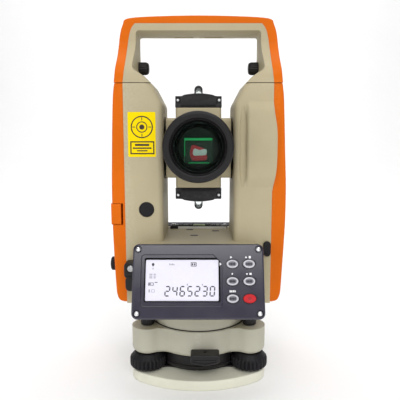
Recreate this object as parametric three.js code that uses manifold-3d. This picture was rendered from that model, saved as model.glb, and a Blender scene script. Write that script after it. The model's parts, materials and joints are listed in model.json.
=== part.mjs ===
// A surveying instrument of the total station and digital theodolite family:
// a telescope between two standards, on a rotating alidade, on a three-screw tribrach.
// Millimetres, +Z up. The origin is on the vertical axis, at the underside of the base plate.
// The objective looks along -Y in the rest pose.

import * as THREE from 'three';
import { mergeVertices, toCreasedNormals } from 'three/addons/utils/BufferGeometryUtils.js';
import Module from 'manifold-3d';

const wasm = await Module();
wasm.setup();

// ---------------------------------------------------------------- driving dimensions

const GAP = 0.3; // clearance between neighbouring pieces
const DEG = Math.PI / 180;

const OVERALL_HEIGHT = 330;
const TRUNNION_Z = 213; // height of the telescope's turning axis
const SIGHT_TILT = 2.5; // degrees that the telescope looks up in the rest pose

const BASE = { thickness: 9.5, sideDistance: 57.4, sideRadius: 95, cornerRadius: 20, threadRadius: 7.9 };
const SCREW = {
  pitchRadius: 54.8, knobRadius: 16.8, bottom: 11.4, skirtTop: 21.4, top: 25.6, collar: 12,
  stemRadius: 5, stemTop: 47,
};
const SCREW_ANGLES = [210, 330, 90];
const FOOT = { radius: 4, bottom: 6 };
const SPRING_PLATE = { bottom: BASE.thickness + GAP, top: 11.1, drumRadius: 38, lobeRadius: 10, fillet: 20 };
const HUB = { bottom: 12.4, top: 25.7, radius: 42.5, bore: 22 };
const TRIBRACH = { bottom: 26, top: 51, drumRadius: 47.8, lobeRadius: 14.3, fillet: 12, edge: 6, bore: 24 };
const LOCK_RING = { bottom: 28.5, top: 36.5, inner: 26, outer: 40 };
const LOCK_KNOB = { x: 5.8, z: 31.8, halfWidth: 12.7, halfHeight: 5.2, point: 2.8, front: -64, back: -51 };
const PEG = { pitchRadius: 33, radius: 5, bottom: 41 };
const SCREW_CAP = { radius: 6.3, height: 6.4 };
const ROUND_LEVEL = { angle: 150, distance: 57, radius: 9.3, bossRadius: 11, bottom: 38, top: 56 };

const CENTRING_BASE = { bottom: TRIBRACH.top + GAP, top: 62.7, radius: 46.4, wall: 4 };
const SPINDLE = { radius: 8, bore: 5, top: 104 };
const HUB_RADIUS = 14;

const ALIDADE_BOTTOM = 63.3;
const PLATFORM_Z = 131;
const SKIRT = { radius: 46.4, top: 78 };
const STANDARD = {
  inner: 31.3, outer: 64.9, depth: 35.5, bottom: 74, splitZ: 269.7, shoulderX: 40.6, shoulderZ: 252, edge: 5,
};
const POCKET = { inner: 36.5, depth: 30, bottom: 80, top: 262 };
const AXLE = { radius: 8, end: 52, bearingRadius: 14, bearingEnd: 45 };

const COVER = { depth: 33.5, edge: 5 };
const COVER_OUTLINE = [
  [67, 74.2], [71.8, 75.8], [74.1, 80.5], [75, 88], [76, 112], [76.7, 134], [77, 156], [76.9, 182],
  [76.2, 206], [75.4, 232], [74.2, 258], [72.8, 269.6],
];
const COVER_BOTTOM = COVER_OUTLINE[0][1];
const RIGHT_SWELL = { height: 0.9, z: 165, width: 45 }; // the right cover stands out a little further
const BATTERY = { bottom: 168, top: 260, depth: 27 };
const LATCH = { bottom: 146, top: 165, inner: 69, front: -34.6, back: -24, travel: 1.5 };

const PANEL = {
  width: 112, height: 63.4, thickness: 8, corner: 4.5, tilt: 21.4, centreY: -64.2, centreZ: 103.5,
};
const DISPLAY = { left: -44.9, right: 17.3, bottom: -16.6, top: 18.2, recess: 1.2, thickness: 2 };
const KEY = {
  halfWidth: 5, halfHeight: 3.6, stand: 1.1, depth: 4, columns: [28.9, 43.1], rows: [14.4, -0.2, -14.6],
};

const HANDLE = {
  bottom: 270.3, gripTop: 323, barBottom: 314.5, postInner: 55, shoulderZ: 278, corner: 3.5,
  footDepth: 35.5, barDepth: 16.5, taperStart: 277, taperEnd: 309,
};
const HANDLE_LOCK = { radius: 5.8, z: 286, inner: 45.6, shaftRadius: 2.5, shaftEnd: 60 };

const HOOD = { front: -75, back: -24, outer: 28.7, aperture: 22.5, lensSeat: -60.8, barrel: 25 };
const EYEPIECE = { ringRadius: 21, ringFront: 42.3, ringBack: 56, radius: 13, back: 74, tube: 9.5 };
const SIGHT = { halfWidth: 20.8, base: 36.1, lugTop: 46.2, crown: 48.2, tubeTop: 56, tubeHalf: 3.75 };

// ---------------------------------------------------------------- materials

function paint(color, roughness, metalness = 0) {
  return new THREE.MeshStandardMaterial({ color, roughness, metalness });
}
const MATERIALS = {
  beige: paint('#c0b69a', 0.5),
  ivory: paint('#dfdecf', 0.5),
  orange: paint('#d8641c', 0.45),
  panel: paint('#4b4a57', 0.5),
  black: paint('#282729', 0.55),
  rubber: paint('#1f1f20', 0.8),
  steel: paint('#b9bbbd', 0.3, 0.9),
  glass: paint('#20332c', 0.08),
  screen: paint('#eeeef6', 0.35),
  keyGrey: paint('#b6b5ba', 0.5),
  keyRed: paint('#c0333a', 0.45),
};

// ---------------------------------------------------------------- solids from three.js geometry

// Turns a closed three.js geometry into a solid that can be joined and cut.
function solid(geometry) {
  const bare = geometry.index ? geometry.toNonIndexed() : geometry.clone();
  bare.deleteAttribute('normal');
  bare.deleteAttribute('uv');
  const merged = mergeVertices(bare, 1e-4);
  const position = merged.attributes.position.array;
  const index = merged.index.array;
  const triangles = [];
  let volume = 0;
  for (let i = 0; i < index.length; i += 3) {
    const [a, b, c] = [index[i], index[i + 1], index[i + 2]];
    if (a === b || b === c || c === a) continue;
    triangles.push(a, b, c);
    const [pa, pb, pc] = [a, b, c].map((k) => new THREE.Vector3().fromArray(position, 3 * k));
    volume += pa.dot(pb.cross(pc));
  }
  if (volume < 0) triangles.reverse();
  return new wasm.Manifold(new wasm.Mesh({
    numProp: 3,
    vertProperties: new Float32Array(position),
    triVerts: new Uint32Array(triangles),
  }));
}

function union(solids) {
  return solids.reduce((whole, piece) => whole.add(piece));
}

function without(body, cuts) {
  return cuts.reduce((rest, cut) => rest.subtract(cut), body);
}

// Extrudes a shape drawn in X and Y from z0 to z1. The edge is rounded inside the outline.
function alongZ(shape, z0, z1, edge = 0, steps = 3) {
  const geometry = new THREE.ExtrudeGeometry(shape, {
    depth: z1 - z0 - 2 * edge,
    bevelEnabled: edge > 0,
    bevelThickness: edge,
    bevelSize: edge,
    bevelOffset: -edge,
    bevelSegments: edge > 2 ? 2 : 1,
    curveSegments: steps,
  });
  return geometry.translate(0, 0, z0 + edge);
}

// The same for a shape drawn in X and Z, extruded along Y.
function alongY(shape, y0, y1, edge = 0, steps = 3) {
  return alongZ(shape, -y1, -y0, edge, steps).rotateX(Math.PI / 2);
}

// The same for a shape drawn in Y and Z, extruded along X.
function alongX(shape, x0, x1, edge = 0, steps = 3) {
  const turn = new THREE.Matrix4().makeBasis(
    new THREE.Vector3(0, 1, 0), new THREE.Vector3(0, 0, 1), new THREE.Vector3(1, 0, 0));
  return alongZ(shape, x0, x1, edge, steps).applyMatrix4(turn);
}

// A turned piece: the profile lists [radius, distance along the axis].
function turned(axis, profile, segments = 24) {
  const points = profile.map(([r, t]) => new THREE.Vector2(r, t));
  const geometry = new THREE.LatheGeometry(points, segments);
  if (axis === 'x') geometry.rotateZ(-Math.PI / 2);
  if (axis === 'z') geometry.rotateX(Math.PI / 2);
  return geometry;
}

function rod(axis, radius, from, to, segments = 20) {
  return turned(axis, [[0, from], [radius, from], [radius, to], [0, to]], segments);
}

// A rod with both rims rounded off by a chamfer.
function knob(axis, radius, from, to, chamfer, segments = 20) {
  return turned(axis, [
    [0, from], [radius - chamfer, from], [radius, from + chamfer],
    [radius, to - chamfer], [radius - chamfer, to], [0, to],
  ], segments);
}

function block(x0, x1, y0, y1, z0, z1) {
  return new THREE.BoxGeometry(x1 - x0, y1 - y0, z1 - z0)
    .translate((x0 + x1) / 2, (y0 + y1) / 2, (z0 + z1) / 2);
}

// ---------------------------------------------------------------- outlines

function polygon(points) {
  return new THREE.Shape(points.map(([a, b]) => new THREE.Vector2(a, b)));
}

// A smooth curve through the points, closed by the straight line from the last one to the first.
function splineOutline(points, closing) {
  const shape = new THREE.Shape();
  shape.moveTo(...points[0]);
  shape.splineThru(points.slice(1).map(([a, b]) => new THREE.Vector2(a, b)));
  closing.forEach(([a, b]) => shape.lineTo(a, b));
  return shape;
}

function roundedRectangle(a0, a1, b0, b1, radius) {
  const shape = new THREE.Shape();
  shape.absarc(a1 - radius, b0 + radius, radius, -90 * DEG, 0);
  shape.absarc(a1 - radius, b1 - radius, radius, 0, 90 * DEG);
  shape.absarc(a0 + radius, b1 - radius, radius, 90 * DEG, 180 * DEG);
  shape.absarc(a0 + radius, b0 + radius, radius, 180 * DEG, 270 * DEG);
  return shape;
}

function ellipse(a, b, halfA, halfB) {
  const shape = new THREE.Shape();
  shape.absellipse(a, b, halfA, halfB, 0, 2 * Math.PI);
  return shape;
}

const polar = (radius, degrees) => [radius * Math.cos(degrees * DEG), radius * Math.sin(degrees * DEG)];

const angleBetween = (from, to) => Math.atan2(to[1] - from[1], to[0] - from[0]);

// A triangle with bulging sides and round corners, a corner over each foot screw.
function bulgingTriangle({ sideDistance, sideRadius, cornerRadius }) {
  const offset = sideRadius - sideDistance;
  const reach = sideRadius - cornerRadius;
  const corner = (-offset + Math.sqrt(4 * reach * reach - 3 * offset * offset)) / 2;
  const shape = new THREE.Shape();
  for (const angle of [330, 90, 210]) {
    const centre = polar(corner, angle);
    const before = polar(offset, angle + 120);
    const after = polar(offset, angle - 120);
    let start = angleBetween(before, centre);
    let end = angleBetween(after, centre);
    while (end < start) end += 2 * Math.PI;
    shape.absarc(...centre, cornerRadius, start, end);
    start = end;
    end = angleBetween(after, polar(corner, angle + 120));
    while (end < start) end += 2 * Math.PI;
    shape.absarc(...after, sideRadius, start, end);
  }
  return shape;
}

// A drum with three lobes over the foot screws, each blended into the drum by a fillet.
function lobedOutline({ drumRadius, lobeRadius, fillet }) {
  const toFillet = drumRadius + fillet;
  const lobeToFillet = lobeRadius + fillet;
  const spread = Math.acos(
    (toFillet ** 2 + SCREW.pitchRadius ** 2 - lobeToFillet ** 2) / (2 * toFillet * SCREW.pitchRadius)) / DEG;
  const shape = new THREE.Shape();
  for (const angle of [330, 90, 210]) {
    const lobe = polar(SCREW.pitchRadius, angle);
    const before = polar(toFillet, angle - spread);
    const after = polar(toFillet, angle + spread);
    const blend = angleBetween(lobe, before);
    shape.absarc(...before, fillet, (angle - spread + 180) * DEG, blend + Math.PI, true);
    let end = angleBetween(lobe, after);
    while (end < blend) end += 2 * Math.PI;
    shape.absarc(...lobe, lobeRadius, blend, end);
    shape.absarc(...after, fillet, end + Math.PI, (angle + spread + 180) * DEG, true);
    shape.absarc(0, 0, drumRadius, (angle + spread) * DEG, (angle + 120 - spread) * DEG);
  }
  return shape;
}

// ---------------------------------------------------------------- the assembly

const instrument = new THREE.Group();

function add(name, piece, material, parent = instrument) {
  const mesh = piece.getMesh();
  const geometry = new THREE.BufferGeometry();
  geometry.setAttribute('position', new THREE.BufferAttribute(new Float32Array(mesh.vertProperties), 3));
  geometry.setIndex(new THREE.BufferAttribute(new Uint32Array(mesh.triVerts), 1));
  const node = new THREE.Mesh(toCreasedNormals(geometry, 35 * DEG), MATERIALS[material]);
  node.name = name;
  parent.add(node);
}

function group(parent, { x = 0, y = 0, z = 0, turnX = 0, turnZ = 0 }) {
  const child = new THREE.Group();
  child.position.set(x, y, z);
  child.rotation.set(turnX * DEG, 0, turnZ * DEG);
  parent.add(child);
  return child;
}

const screwPlaces = SCREW_ANGLES.map((angle) => polar(SCREW.pitchRadius, angle));

function atEachScrew(makeGeometry) {
  return screwPlaces.map(([x, y]) => solid(makeGeometry().translate(x, y, 0)));
}

// ---- tribrach

function basePlate() {
  const plate = solid(alongZ(bulgingTriangle(BASE), 0, BASE.thickness, 1.2, 6));
  const sockets = atEachScrew(() => rod('z', FOOT.radius + GAP, FOOT.bottom - GAP, 20, 12));
  return without(plate, [...sockets, solid(rod('z', BASE.threadRadius, -5, 20))]);
}

function springPlate() {
  const plate = solid(alongZ(lobedOutline(SPRING_PLATE), SPRING_PLATE.bottom, SPRING_PLATE.top, 0, 2));
  const holes = atEachScrew(() => rod('z', FOOT.radius + GAP, 0, 20, 12));
  return without(plate, [...holes, solid(rod('z', HUB.bore, 0, 20))]);
}

function tribrachHub() {
  const drum = solid(knob('z', HUB.radius, HUB.bottom, HUB.top, 1, 30));
  const clearances = atEachScrew(() => rod('z', SCREW.knobRadius + 1.4, 0, HUB.top + 1, 24));
  return without(drum, [...clearances, solid(rod('z', HUB.bore, 0, 60))]);
}

function tribrachBody() {
  const tall = solid(alongZ(lobedOutline(TRIBRACH), TRIBRACH.bottom, TRIBRACH.top + 2 * TRIBRACH.edge,
    TRIBRACH.edge, 3));
  const [levelX, levelY] = polar(ROUND_LEVEL.distance, ROUND_LEVEL.angle);
  const boss = knob('z', ROUND_LEVEL.bossRadius, ROUND_LEVEL.bottom, TRIBRACH.top, 1);
  const neck = boss.clone().translate(levelX * 0.85, levelY * 0.85, 0);
  boss.translate(levelX, levelY, 0);
  const top = solid(block(-90, 90, -90, 90, TRIBRACH.top, 80));
  const bore = solid(rod('z', TRIBRACH.bore, 0, 80));
  const ringRecess = solid(rod('z', LOCK_RING.outer + 1, 0, LOCK_RING.top + 1, 28));
  const pegHoles = [30, 150, 270].map((angle) => solid(
    rod('z', PEG.radius + 0.6, 30, 80, 12).translate(...polar(PEG.pitchRadius, angle), 0)));
  const stemHoles = atEachScrew(() => rod('z', SCREW.stemRadius + GAP, 0, SCREW.stemTop + GAP, 14));
  const knobShaft = solid(rod('y', 2.8, -70, -30, 12).translate(LOCK_KNOB.x, 0, LOCK_KNOB.z));
  const shell = union([tall, solid(boss), solid(neck)]);
  return without(shell, [top, bore, ringRecess, ...pegHoles, ...stemHoles, knobShaft]);
}

function lockRing() {
  const ring = solid(rod('z', LOCK_RING.outer, LOCK_RING.bottom, LOCK_RING.top, 28));
  return ring.subtract(solid(rod('z', LOCK_RING.inner, 0, 60)));
}

function lockKnob() {
  const { x, z, halfWidth, halfHeight, point } = LOCK_KNOB;
  const outline = polygon([
    [x - halfWidth, z + halfHeight], [x - halfWidth, z - halfHeight + point], [x, z - halfHeight],
    [x + halfWidth, z - halfHeight + point], [x + halfWidth, z + halfHeight],
  ]);
  const lever = solid(alongY(outline, LOCK_KNOB.front, LOCK_KNOB.back, 1));
  return lever.add(solid(rod('y', 2.5, LOCK_KNOB.back - 1, -42, 12).translate(x, 0, z)));
}

function footScrew([x, y]) {
  const { knobRadius, bottom, skirtTop, top, collar, stemRadius, stemTop } = SCREW;
  const profile = [
    [0, FOOT.bottom], [FOOT.radius, FOOT.bottom], [FOOT.radius, bottom], [knobRadius - 1, bottom],
    [knobRadius, bottom + 1], [knobRadius, skirtTop - 1], [knobRadius - 1, skirtTop], [collar, top],
    [stemRadius, top], [stemRadius, stemTop], [0, stemTop],
  ];
  return solid(turned('z', profile, 20).translate(x, y, 0));
}

function screwCap([x, y]) {
  const bottom = TRIBRACH.top + GAP;
  const { radius, height } = SCREW_CAP;
  const profile = [
    [0, bottom], [radius, bottom], [radius, bottom + height - 2], [radius - 1.5, bottom + height],
    [0, bottom + height],
  ];
  return solid(turned('z', profile, 20).translate(x, y, 0));
}

function roundLevel() {
  const [x, y] = polar(ROUND_LEVEL.distance, ROUND_LEVEL.angle);
  return solid(knob('z', ROUND_LEVEL.radius, TRIBRACH.top + GAP, ROUND_LEVEL.top, 1.2).translate(x, y, 0));
}

add('base_plate', basePlate(), 'ivory');
add('spring_plate', springPlate(), 'black');
add('tribrach_hub', tribrachHub(), 'black');
add('tribrach_body', tribrachBody(), 'beige');
add('tribrach_lock_ring', lockRing(), 'steel');
add('tribrach_lock_knob', lockKnob(), 'black');
screwPlaces.forEach((place, i) => {
  add(`foot_screw_${i + 1}`, footScrew(place), 'rubber');
  add(`foot_screw_cap_${i + 1}`, screwCap(place), 'black');
});
add('circular_level', roundLevel(), 'black');

// ---- fixed base of the instrument

function centringBase() {
  const { bottom, top, radius, wall } = CENTRING_BASE;
  const drum = solid(knob('z', radius, bottom, top, 1, 32));
  const hollow = solid(rod('z', radius - wall, bottom + wall, 90, 28))
    .subtract(solid(rod('z', HUB_RADIUS, 0, 100)));
  const bore = solid(rod('z', SPINDLE.radius + GAP, 0, 100));
  const pegs = [30, 150, 270].map((angle) => solid(
    knob('z', PEG.radius, PEG.bottom, bottom + 1, 1, 12).translate(...polar(PEG.pitchRadius, angle), 0)));
  return union([without(drum, [hollow, bore]), ...pegs]);
}

function horizontalCircle() {
  const disc = solid(rod('z', 37, 57.5, 60.5, 28));
  return disc.subtract(solid(rod('z', HUB_RADIUS + GAP, 0, 80)));
}

function spindle() {
  const shaft = solid(knob('z', SPINDLE.radius, CENTRING_BASE.bottom, SPINDLE.top, 1, 20));
  return shaft.subtract(solid(rod('z', SPINDLE.bore, 0, 200, 16)));
}

add('centring_base', centringBase(), 'beige');
add('horizontal_circle', horizontalCircle(), 'glass');
add('vertical_spindle', spindle(), 'steel');

// ---- alidade

// The front view of one standard. It runs past its trimmed edges, so that those stay sharp.
function standard(side) {
  const { inner, outer, depth, bottom, splitZ, shoulderX, shoulderZ, edge } = STANDARD;
  const slope = (splitZ - shoulderZ) / (shoulderX - inner);
  const past = 8;
  const outline = new THREE.Shape();
  outline.moveTo(side * (inner - past), bottom - past);
  outline.lineTo(side * (outer + past), bottom - past);
  outline.lineTo(side * (outer + past), splitZ + past);
  outline.lineTo(side * (shoulderX + past / slope), splitZ + past);
  outline.lineTo(side * (inner + 2), shoulderZ + 2 * slope);
  outline.quadraticCurveTo(side * inner, shoulderZ, side * inner, shoulderZ - 5);
  outline.lineTo(side * inner, PLATFORM_Z);
  outline.lineTo(side * (inner - past), PLATFORM_Z);
  const full = solid(alongY(outline, -depth, depth, edge, 3));
  const keep = solid(block(-outer, outer, -60, 60, bottom, splitZ));
  return full.intersect(keep);
}

// The middle of the yoke, with a sloping face behind each display panel.
function panelHousing() {
  const half = [[58, 70.5], [66.8, 73.6], [45, 129.6], [36, PLATFORM_Z]];
  const outline = polygon([...half, ...half.map(([y, z]) => [-y, z]).reverse()]);
  return solid(alongX(outline, -52, 52));
}

// The swelling on the right standard that holds the vertical circle.
function circleHousing() {
  const outline = roundedRectangle(41, STANDARD.outer, 178, 254, 8);
  return solid(alongY(outline, -STANDARD.depth - 2, STANDARD.depth + 2, 2));
}

function standardPocket(side) {
  const { inner, depth, bottom, top } = POCKET;
  const [x0, x1] = side > 0 ? [inner, 90] : [-90, -inner];
  const bearing = solid(rod('x', AXLE.bearingRadius, -AXLE.bearingEnd, AXLE.bearingEnd)
    .translate(0, 0, TRUNNION_Z));
  return solid(block(x0, x1, -depth, depth, bottom, top)).subtract(bearing);
}

function alidadeFrame() {
  const skirt = solid(rod('z', SKIRT.radius, ALIDADE_BOTTOM, SKIRT.top, 32));
  const body = union([standard(-1), standard(1), panelHousing(), skirt, circleHousing()]);
  return without(body, [
    standardPocket(-1),
    standardPocket(1),
    solid(rod('x', AXLE.radius + 0.1, -80, 80).translate(0, 0, TRUNNION_Z)),
    solid(rod('z', SPINDLE.radius + 0.1, 0, SPINDLE.top + 1, 20)),
    solid(block(-29.3, 29.3, 24, 34, 127, 150)),
    solid(rod('y', 4.3, 20, 60, 16).translate(-48, 0, 160)),
  ]);
}

function coverOutline(side, swell) {
  const outer = COVER_OUTLINE.map(([x, z]) => [
    x + swell * Math.exp(-(((z - RIGHT_SWELL.z) / RIGHT_SWELL.width) ** 2)), z]);
  const closing = [[50, 285], [50, COVER_BOTTOM]];
  outer.push([70.6, 285]);
  return splineOutline(outer.map(([x, z]) => [side * x, z]), closing.map(([x, z]) => [side * x, z]));
}

function coverBlank(side, swell) {
  const limits = side > 0 ? [STANDARD.outer + GAP, 90] : [-90, -STANDARD.outer - GAP];
  const slab = solid(alongY(coverOutline(side, swell), -COVER.depth, COVER.depth, COVER.edge, 2));
  return slab.intersect(solid(block(...limits, -50, 50, 60, STANDARD.splitZ)));
}

function leftCover() {
  const hollow = block(-72.5, -50, -COVER.depth + 6, COVER.depth - 4, 83, 138);
  const window = block(-90, -50, -BATTERY.depth, BATTERY.depth, BATTERY.bottom, BATTERY.top);
  const latchSlot = block(-90, -LATCH.inner + LATCH.travel + GAP, LATCH.front - 2, LATCH.back + GAP,
    LATCH.bottom - GAP, LATCH.top + GAP);
  return without(coverBlank(-1, 0), [
    solid(hollow),
    solid(window),
    solid(latchSlot),
    solid(rod('x', 3.3, -90, -60, 14).translate(0, -18, 106.5)),
    solid(rod('y', 3.8, 0, 50, 14).translate(-68.5, 0, 100)),
  ]);
}

function rightCover() {
  const hollow = block(50, 71.5, -COVER.depth + 6, COVER.depth - 6, 84, 258);
  return coverBlank(1, RIGHT_SWELL.height).subtract(solid(hollow));
}

function batteryPack() {
  const { bottom, top, depth } = BATTERY;
  const slab = solid(alongY(coverOutline(-1, 0.4), -COVER.depth, COVER.depth, 0, 2));
  const inner = -STANDARD.outer - 0.5;
  return slab.intersect(solid(block(-90, inner, -depth + GAP, depth - GAP, bottom + GAP, top - GAP)));
}

function batteryLatch() {
  const { bottom, top, inner, front, back } = LATCH;
  const slab = solid(alongY(coverOutline(-1, 1), front, 40, 5, 2));
  return slab.intersect(solid(block(-90, -inner, front, back, bottom, top)));
}

add('alidade_frame', alidadeFrame(), 'beige');
add('left_side_cover', leftCover(), 'orange');
add('right_side_cover', rightCover(), 'orange');
add('battery_pack', batteryPack(), 'orange');
add('battery_latch', batteryLatch(), 'orange');

// ---- display panels, drawn flat with X across, Y up the slope and Z out of the panel

function keyShape(column, row, margin = 0) {
  return ellipse(column, row, KEY.halfWidth + margin, KEY.halfHeight + margin);
}

function eachKey(visit) {
  return KEY.rows.flatMap((row, r) => KEY.columns.map((column, c) => visit(column, row, r * 2 + c + 1)));
}

function panelPlate() {
  const { width, height, thickness, corner } = PANEL;
  const plate = solid(alongZ(roundedRectangle(-width / 2, width / 2, -height / 2, height / 2, corner),
    -thickness, 0, 1.5));
  const { left, right, bottom, top, recess, thickness: glass } = DISPLAY;
  const windowFloor = -recess - glass - GAP;
  const windowSpace = solid(block(left - GAP, right + GAP, bottom - GAP, top + GAP, windowFloor, 5));
  const keySpaces = eachKey((column, row) => solid(
    alongZ(keyShape(column, row, GAP), -KEY.depth - 1.2, 5, 0, 6)));
  return without(plate, [windowSpace, ...keySpaces]);
}

function displayGlass() {
  const { left, right, bottom, top, recess, thickness } = DISPLAY;
  return solid(block(left, right, bottom, top, -recess - thickness, -recess));
}

function addPanel(name, parent) {
  add(`${name}_panel`, panelPlate(), 'panel', parent);
  add(`${name}_display`, displayGlass(), 'screen', parent);
  eachKey((column, row, number) => add(
    `${name}_key_${number}`,
    solid(alongZ(keyShape(column, row), -KEY.depth, KEY.stand, 0.8, 6)),
    number === 6 ? 'keyRed' : 'keyGrey',
    parent));
}

for (const [name, turnZ] of [['front', 0], ['rear', 180]]) {
  const side = group(instrument, { turnZ });
  addPanel(name, group(side, { y: PANEL.centreY, z: PANEL.centreZ, turnX: 90 - PANEL.tilt }));
}

// ---- plate level, knobs and caps

function plateLevelCase() {
  const box = solid(alongX(roundedRectangle(24.3, 33.7, 127.3, 134.2, 1.5), -29, 29, 0, 2));
  const trough = solid(rod('x', 2.9, -23, 23, 16).translate(0, 28, 132.4));
  const window = solid(block(-23, 23, 25.4, 30.6, 132.4, 140));
  return without(box, [trough, window]);
}

function plateLevelVial() {
  return solid(rod('x', 2.6, -22.6, 22.6, 16).translate(0, 28, 132.4));
}

// A fluted knob on a shaft, turning about an axis along Y.
function flutedKnob(radius, shaftRadius, from, to, shaftTo) {
  const shape = new THREE.Shape();
  const flutes = 14;
  for (let i = 0; i <= flutes * 2; i += 1) {
    const reach = i % 2 ? radius : radius - 0.7;
    const [a, b] = polar(reach, (i * 180) / flutes);
    if (i === 0) shape.moveTo(a, b);
    else shape.lineTo(a, b);
  }
  const grip = solid(alongY(shape, from, to, 0.8));
  return grip.add(solid(rod('y', shaftRadius, Math.min(shaftTo, from), Math.max(shaftTo, from + 1), 16)));
}

function verticalClamp() {
  const lobes = union([
    solid(knob('y', 14.5, 35.8, 43.7, 1)),
    solid(alongY(roundedRectangle(-4.5, 4.5, -18.2, -8, 3), 35.8, 43.7, 1)),
  ]);
  return lobes.subtract(solid(rod('y', 4.3, 0, 80, 16)));
}

const verticalControls = group(instrument, { x: -48, z: 160 });
add('vertical_clamp_ring', verticalClamp(), 'black', verticalControls);
add('vertical_tangent_knob', flutedKnob(11.5, 4, 44, 58, 31), 'rubber', verticalControls);

const tangentScrew = group(instrument, { x: -68.5, z: 100 });
add('horizontal_tangent_knob', flutedKnob(9.5, 3.5, 40, 58, 27), 'rubber', tangentScrew);

function sideClampKnob() {
  const grip = solid(knob('x', 6.4, -81.6, -76.6, 0.8, 24));
  return grip.add(solid(rod('x', 3, -77, -69, 14))).translate([0, -18, 106.5]);
}

function tangentSpringCase() {
  const upper = solid(alongY(roundedRectangle(-65.5, -54, 100, 114.5, 3.5), -47, -35.8, 1.2, 2));
  const lower = solid(alongY(roundedRectangle(-64.8, -55.5, 88, 101.5, 4), -45.5, -35.8, 1.2, 2));
  return upper.add(lower);
}

function portCap() {
  return solid(alongY(roundedRectangle(57.8, 64.6, 117.8, 131.6, 3.3), -38, -35.8, 0.7));
}

add('horizontal_clamp_knob', sideClampKnob(), 'black');
add('tangent_spring_case', tangentSpringCase(), 'black');
add('data_port_cap', portCap(), 'rubber');
add('plate_level_case', plateLevelCase(), 'black');
add('plate_level_vial', plateLevelVial(), 'glass');

// ---- telescope, drawn about its turning axis

const telescope = group(instrument, { z: TRUNNION_Z, turnX: -SIGHT_TILT });

function telescopeBody() {
  const barrel = [
    [0, -42], [HOOD.barrel - GAP, -42], [HOOD.barrel - GAP, 34], [19, 42], [EYEPIECE.tube, 42],
    [EYEPIECE.tube, 62], [0, 62],
  ];
  const body = union([
    solid(alongX(roundedRectangle(-20, 20, -27, 27, 3), -30, 30, 1)),
    solid(alongZ(roundedRectangle(-20.5, 20.5, -22, 24, 3), -35.8, 35.8, 1.5)),
    solid(turned('y', barrel, 28)),
    solid(rod('x', 19, -31, 31)),
    solid(rod('x', AXLE.radius, -AXLE.end, AXLE.end)),
  ]);
  const lightPath = [[0, -60], [17, -60], [17, 26], [6, 30], [6, 80], [0, 80]];
  return body.subtract(solid(turned('y', lightPath, 24)));
}

function objectiveHood() {
  const { front, back, outer, aperture, lensSeat, barrel } = HOOD;
  const profile = [
    [aperture, front + 1.5], [aperture + 1.5, front], [outer - 2, front], [outer, front + 2],
    [outer, -34], [outer - 1.5, -32.5], [outer - 1.5, back], [barrel, back], [barrel, -46],
    [20, -46], [20, lensSeat + 5], [aperture, lensSeat + 5], [aperture, front + 1.5],
  ];
  return solid(turned('y', profile, 32));
}

function objectiveLens() {
  const r = HOOD.aperture - GAP;
  const back = HOOD.lensSeat + 4.7;
  const profile = [
    [0, back - 6.2], [r * 0.5, back - 5.5], [r, back - 3.4], [r, back], [0, back],
  ];
  return solid(turned('y', profile, 28));
}

function prism() {
  return solid(block(-11.5, 11.5, -54, -40, -10.5, 10.5));
}

function focusingLens() {
  return solid(knob('y', 14, -12, -5, 1, 24));
}

function focusingRing() {
  const { ringRadius, ringFront, ringBack, tube } = EYEPIECE;
  const ring = flutedKnob(ringRadius, tube + 2, ringFront, ringBack, ringFront);
  return ring.subtract(solid(rod('y', tube + GAP, 0, 90)));
}

function eyepieceRing() {
  const { radius, ringBack, back, tube } = EYEPIECE;
  const profile = [
    [tube + GAP, ringBack + GAP], [radius, ringBack + GAP], [radius, 66], [radius - 2.5, back],
    [4.5, back], [4.5, 63], [tube + GAP, 63], [tube + GAP, ringBack + GAP],
  ];
  return solid(turned('y', profile, 24));
}

// A black cover with a collimator tube on it, over the top or under the bottom of the neck.
function sightCover(upward) {
  const { halfWidth, base, lugTop, crown, tubeTop, tubeHalf } = SIGHT;
  const cover = polygon([
    [-halfWidth, base], [halfWidth, base], [halfWidth, lugTop], [15.5, lugTop], [14, crown - 1],
    [7, crown - 0.3], [0, crown], [-7, crown - 0.3], [-14, crown - 1], [-15.5, lugTop], [-halfWidth, lugTop],
  ]);
  const arch = new THREE.Shape();
  arch.moveTo(-tubeHalf, crown - 2);
  arch.lineTo(tubeHalf, crown - 2);
  arch.absarc(0, tubeTop - tubeHalf, tubeHalf, 0, 180 * DEG);
  const sight = union([
    solid(alongY(cover, -21.5, 23.5, 0.8)),
    solid(alongY(arch, -16, 18, 0.4)),
  ]).subtract(solid(alongY(roundedRectangle(-2.5, 2.5, crown + 0.6, tubeTop - 1.2, 2.2), -30, 30)));
  return upward ? sight : sight.rotate([0, 180, 0]);
}

function verticalCircle() {
  const disc = solid(rod('x', 27.5, 47, 49.5, 28));
  return disc.subtract(solid(rod('x', AXLE.radius + GAP, 0, 80)));
}

add('telescope_body', telescopeBody(), 'beige', telescope);
add('objective_hood', objectiveHood(), 'black', telescope);
add('objective_lens', objectiveLens(), 'glass', telescope);
add('beam_splitter_prism', prism(), 'glass', telescope);
add('focusing_lens', focusingLens(), 'glass', telescope);
add('focusing_ring', focusingRing(), 'rubber', telescope);
add('eyepiece_ring', eyepieceRing(), 'black', telescope);
add('top_sight', sightCover(true), 'black', telescope);
add('bottom_sight', sightCover(false), 'black', telescope);
add('vertical_circle', verticalCircle(), 'glass', telescope);

// ---- carrying handle

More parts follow.
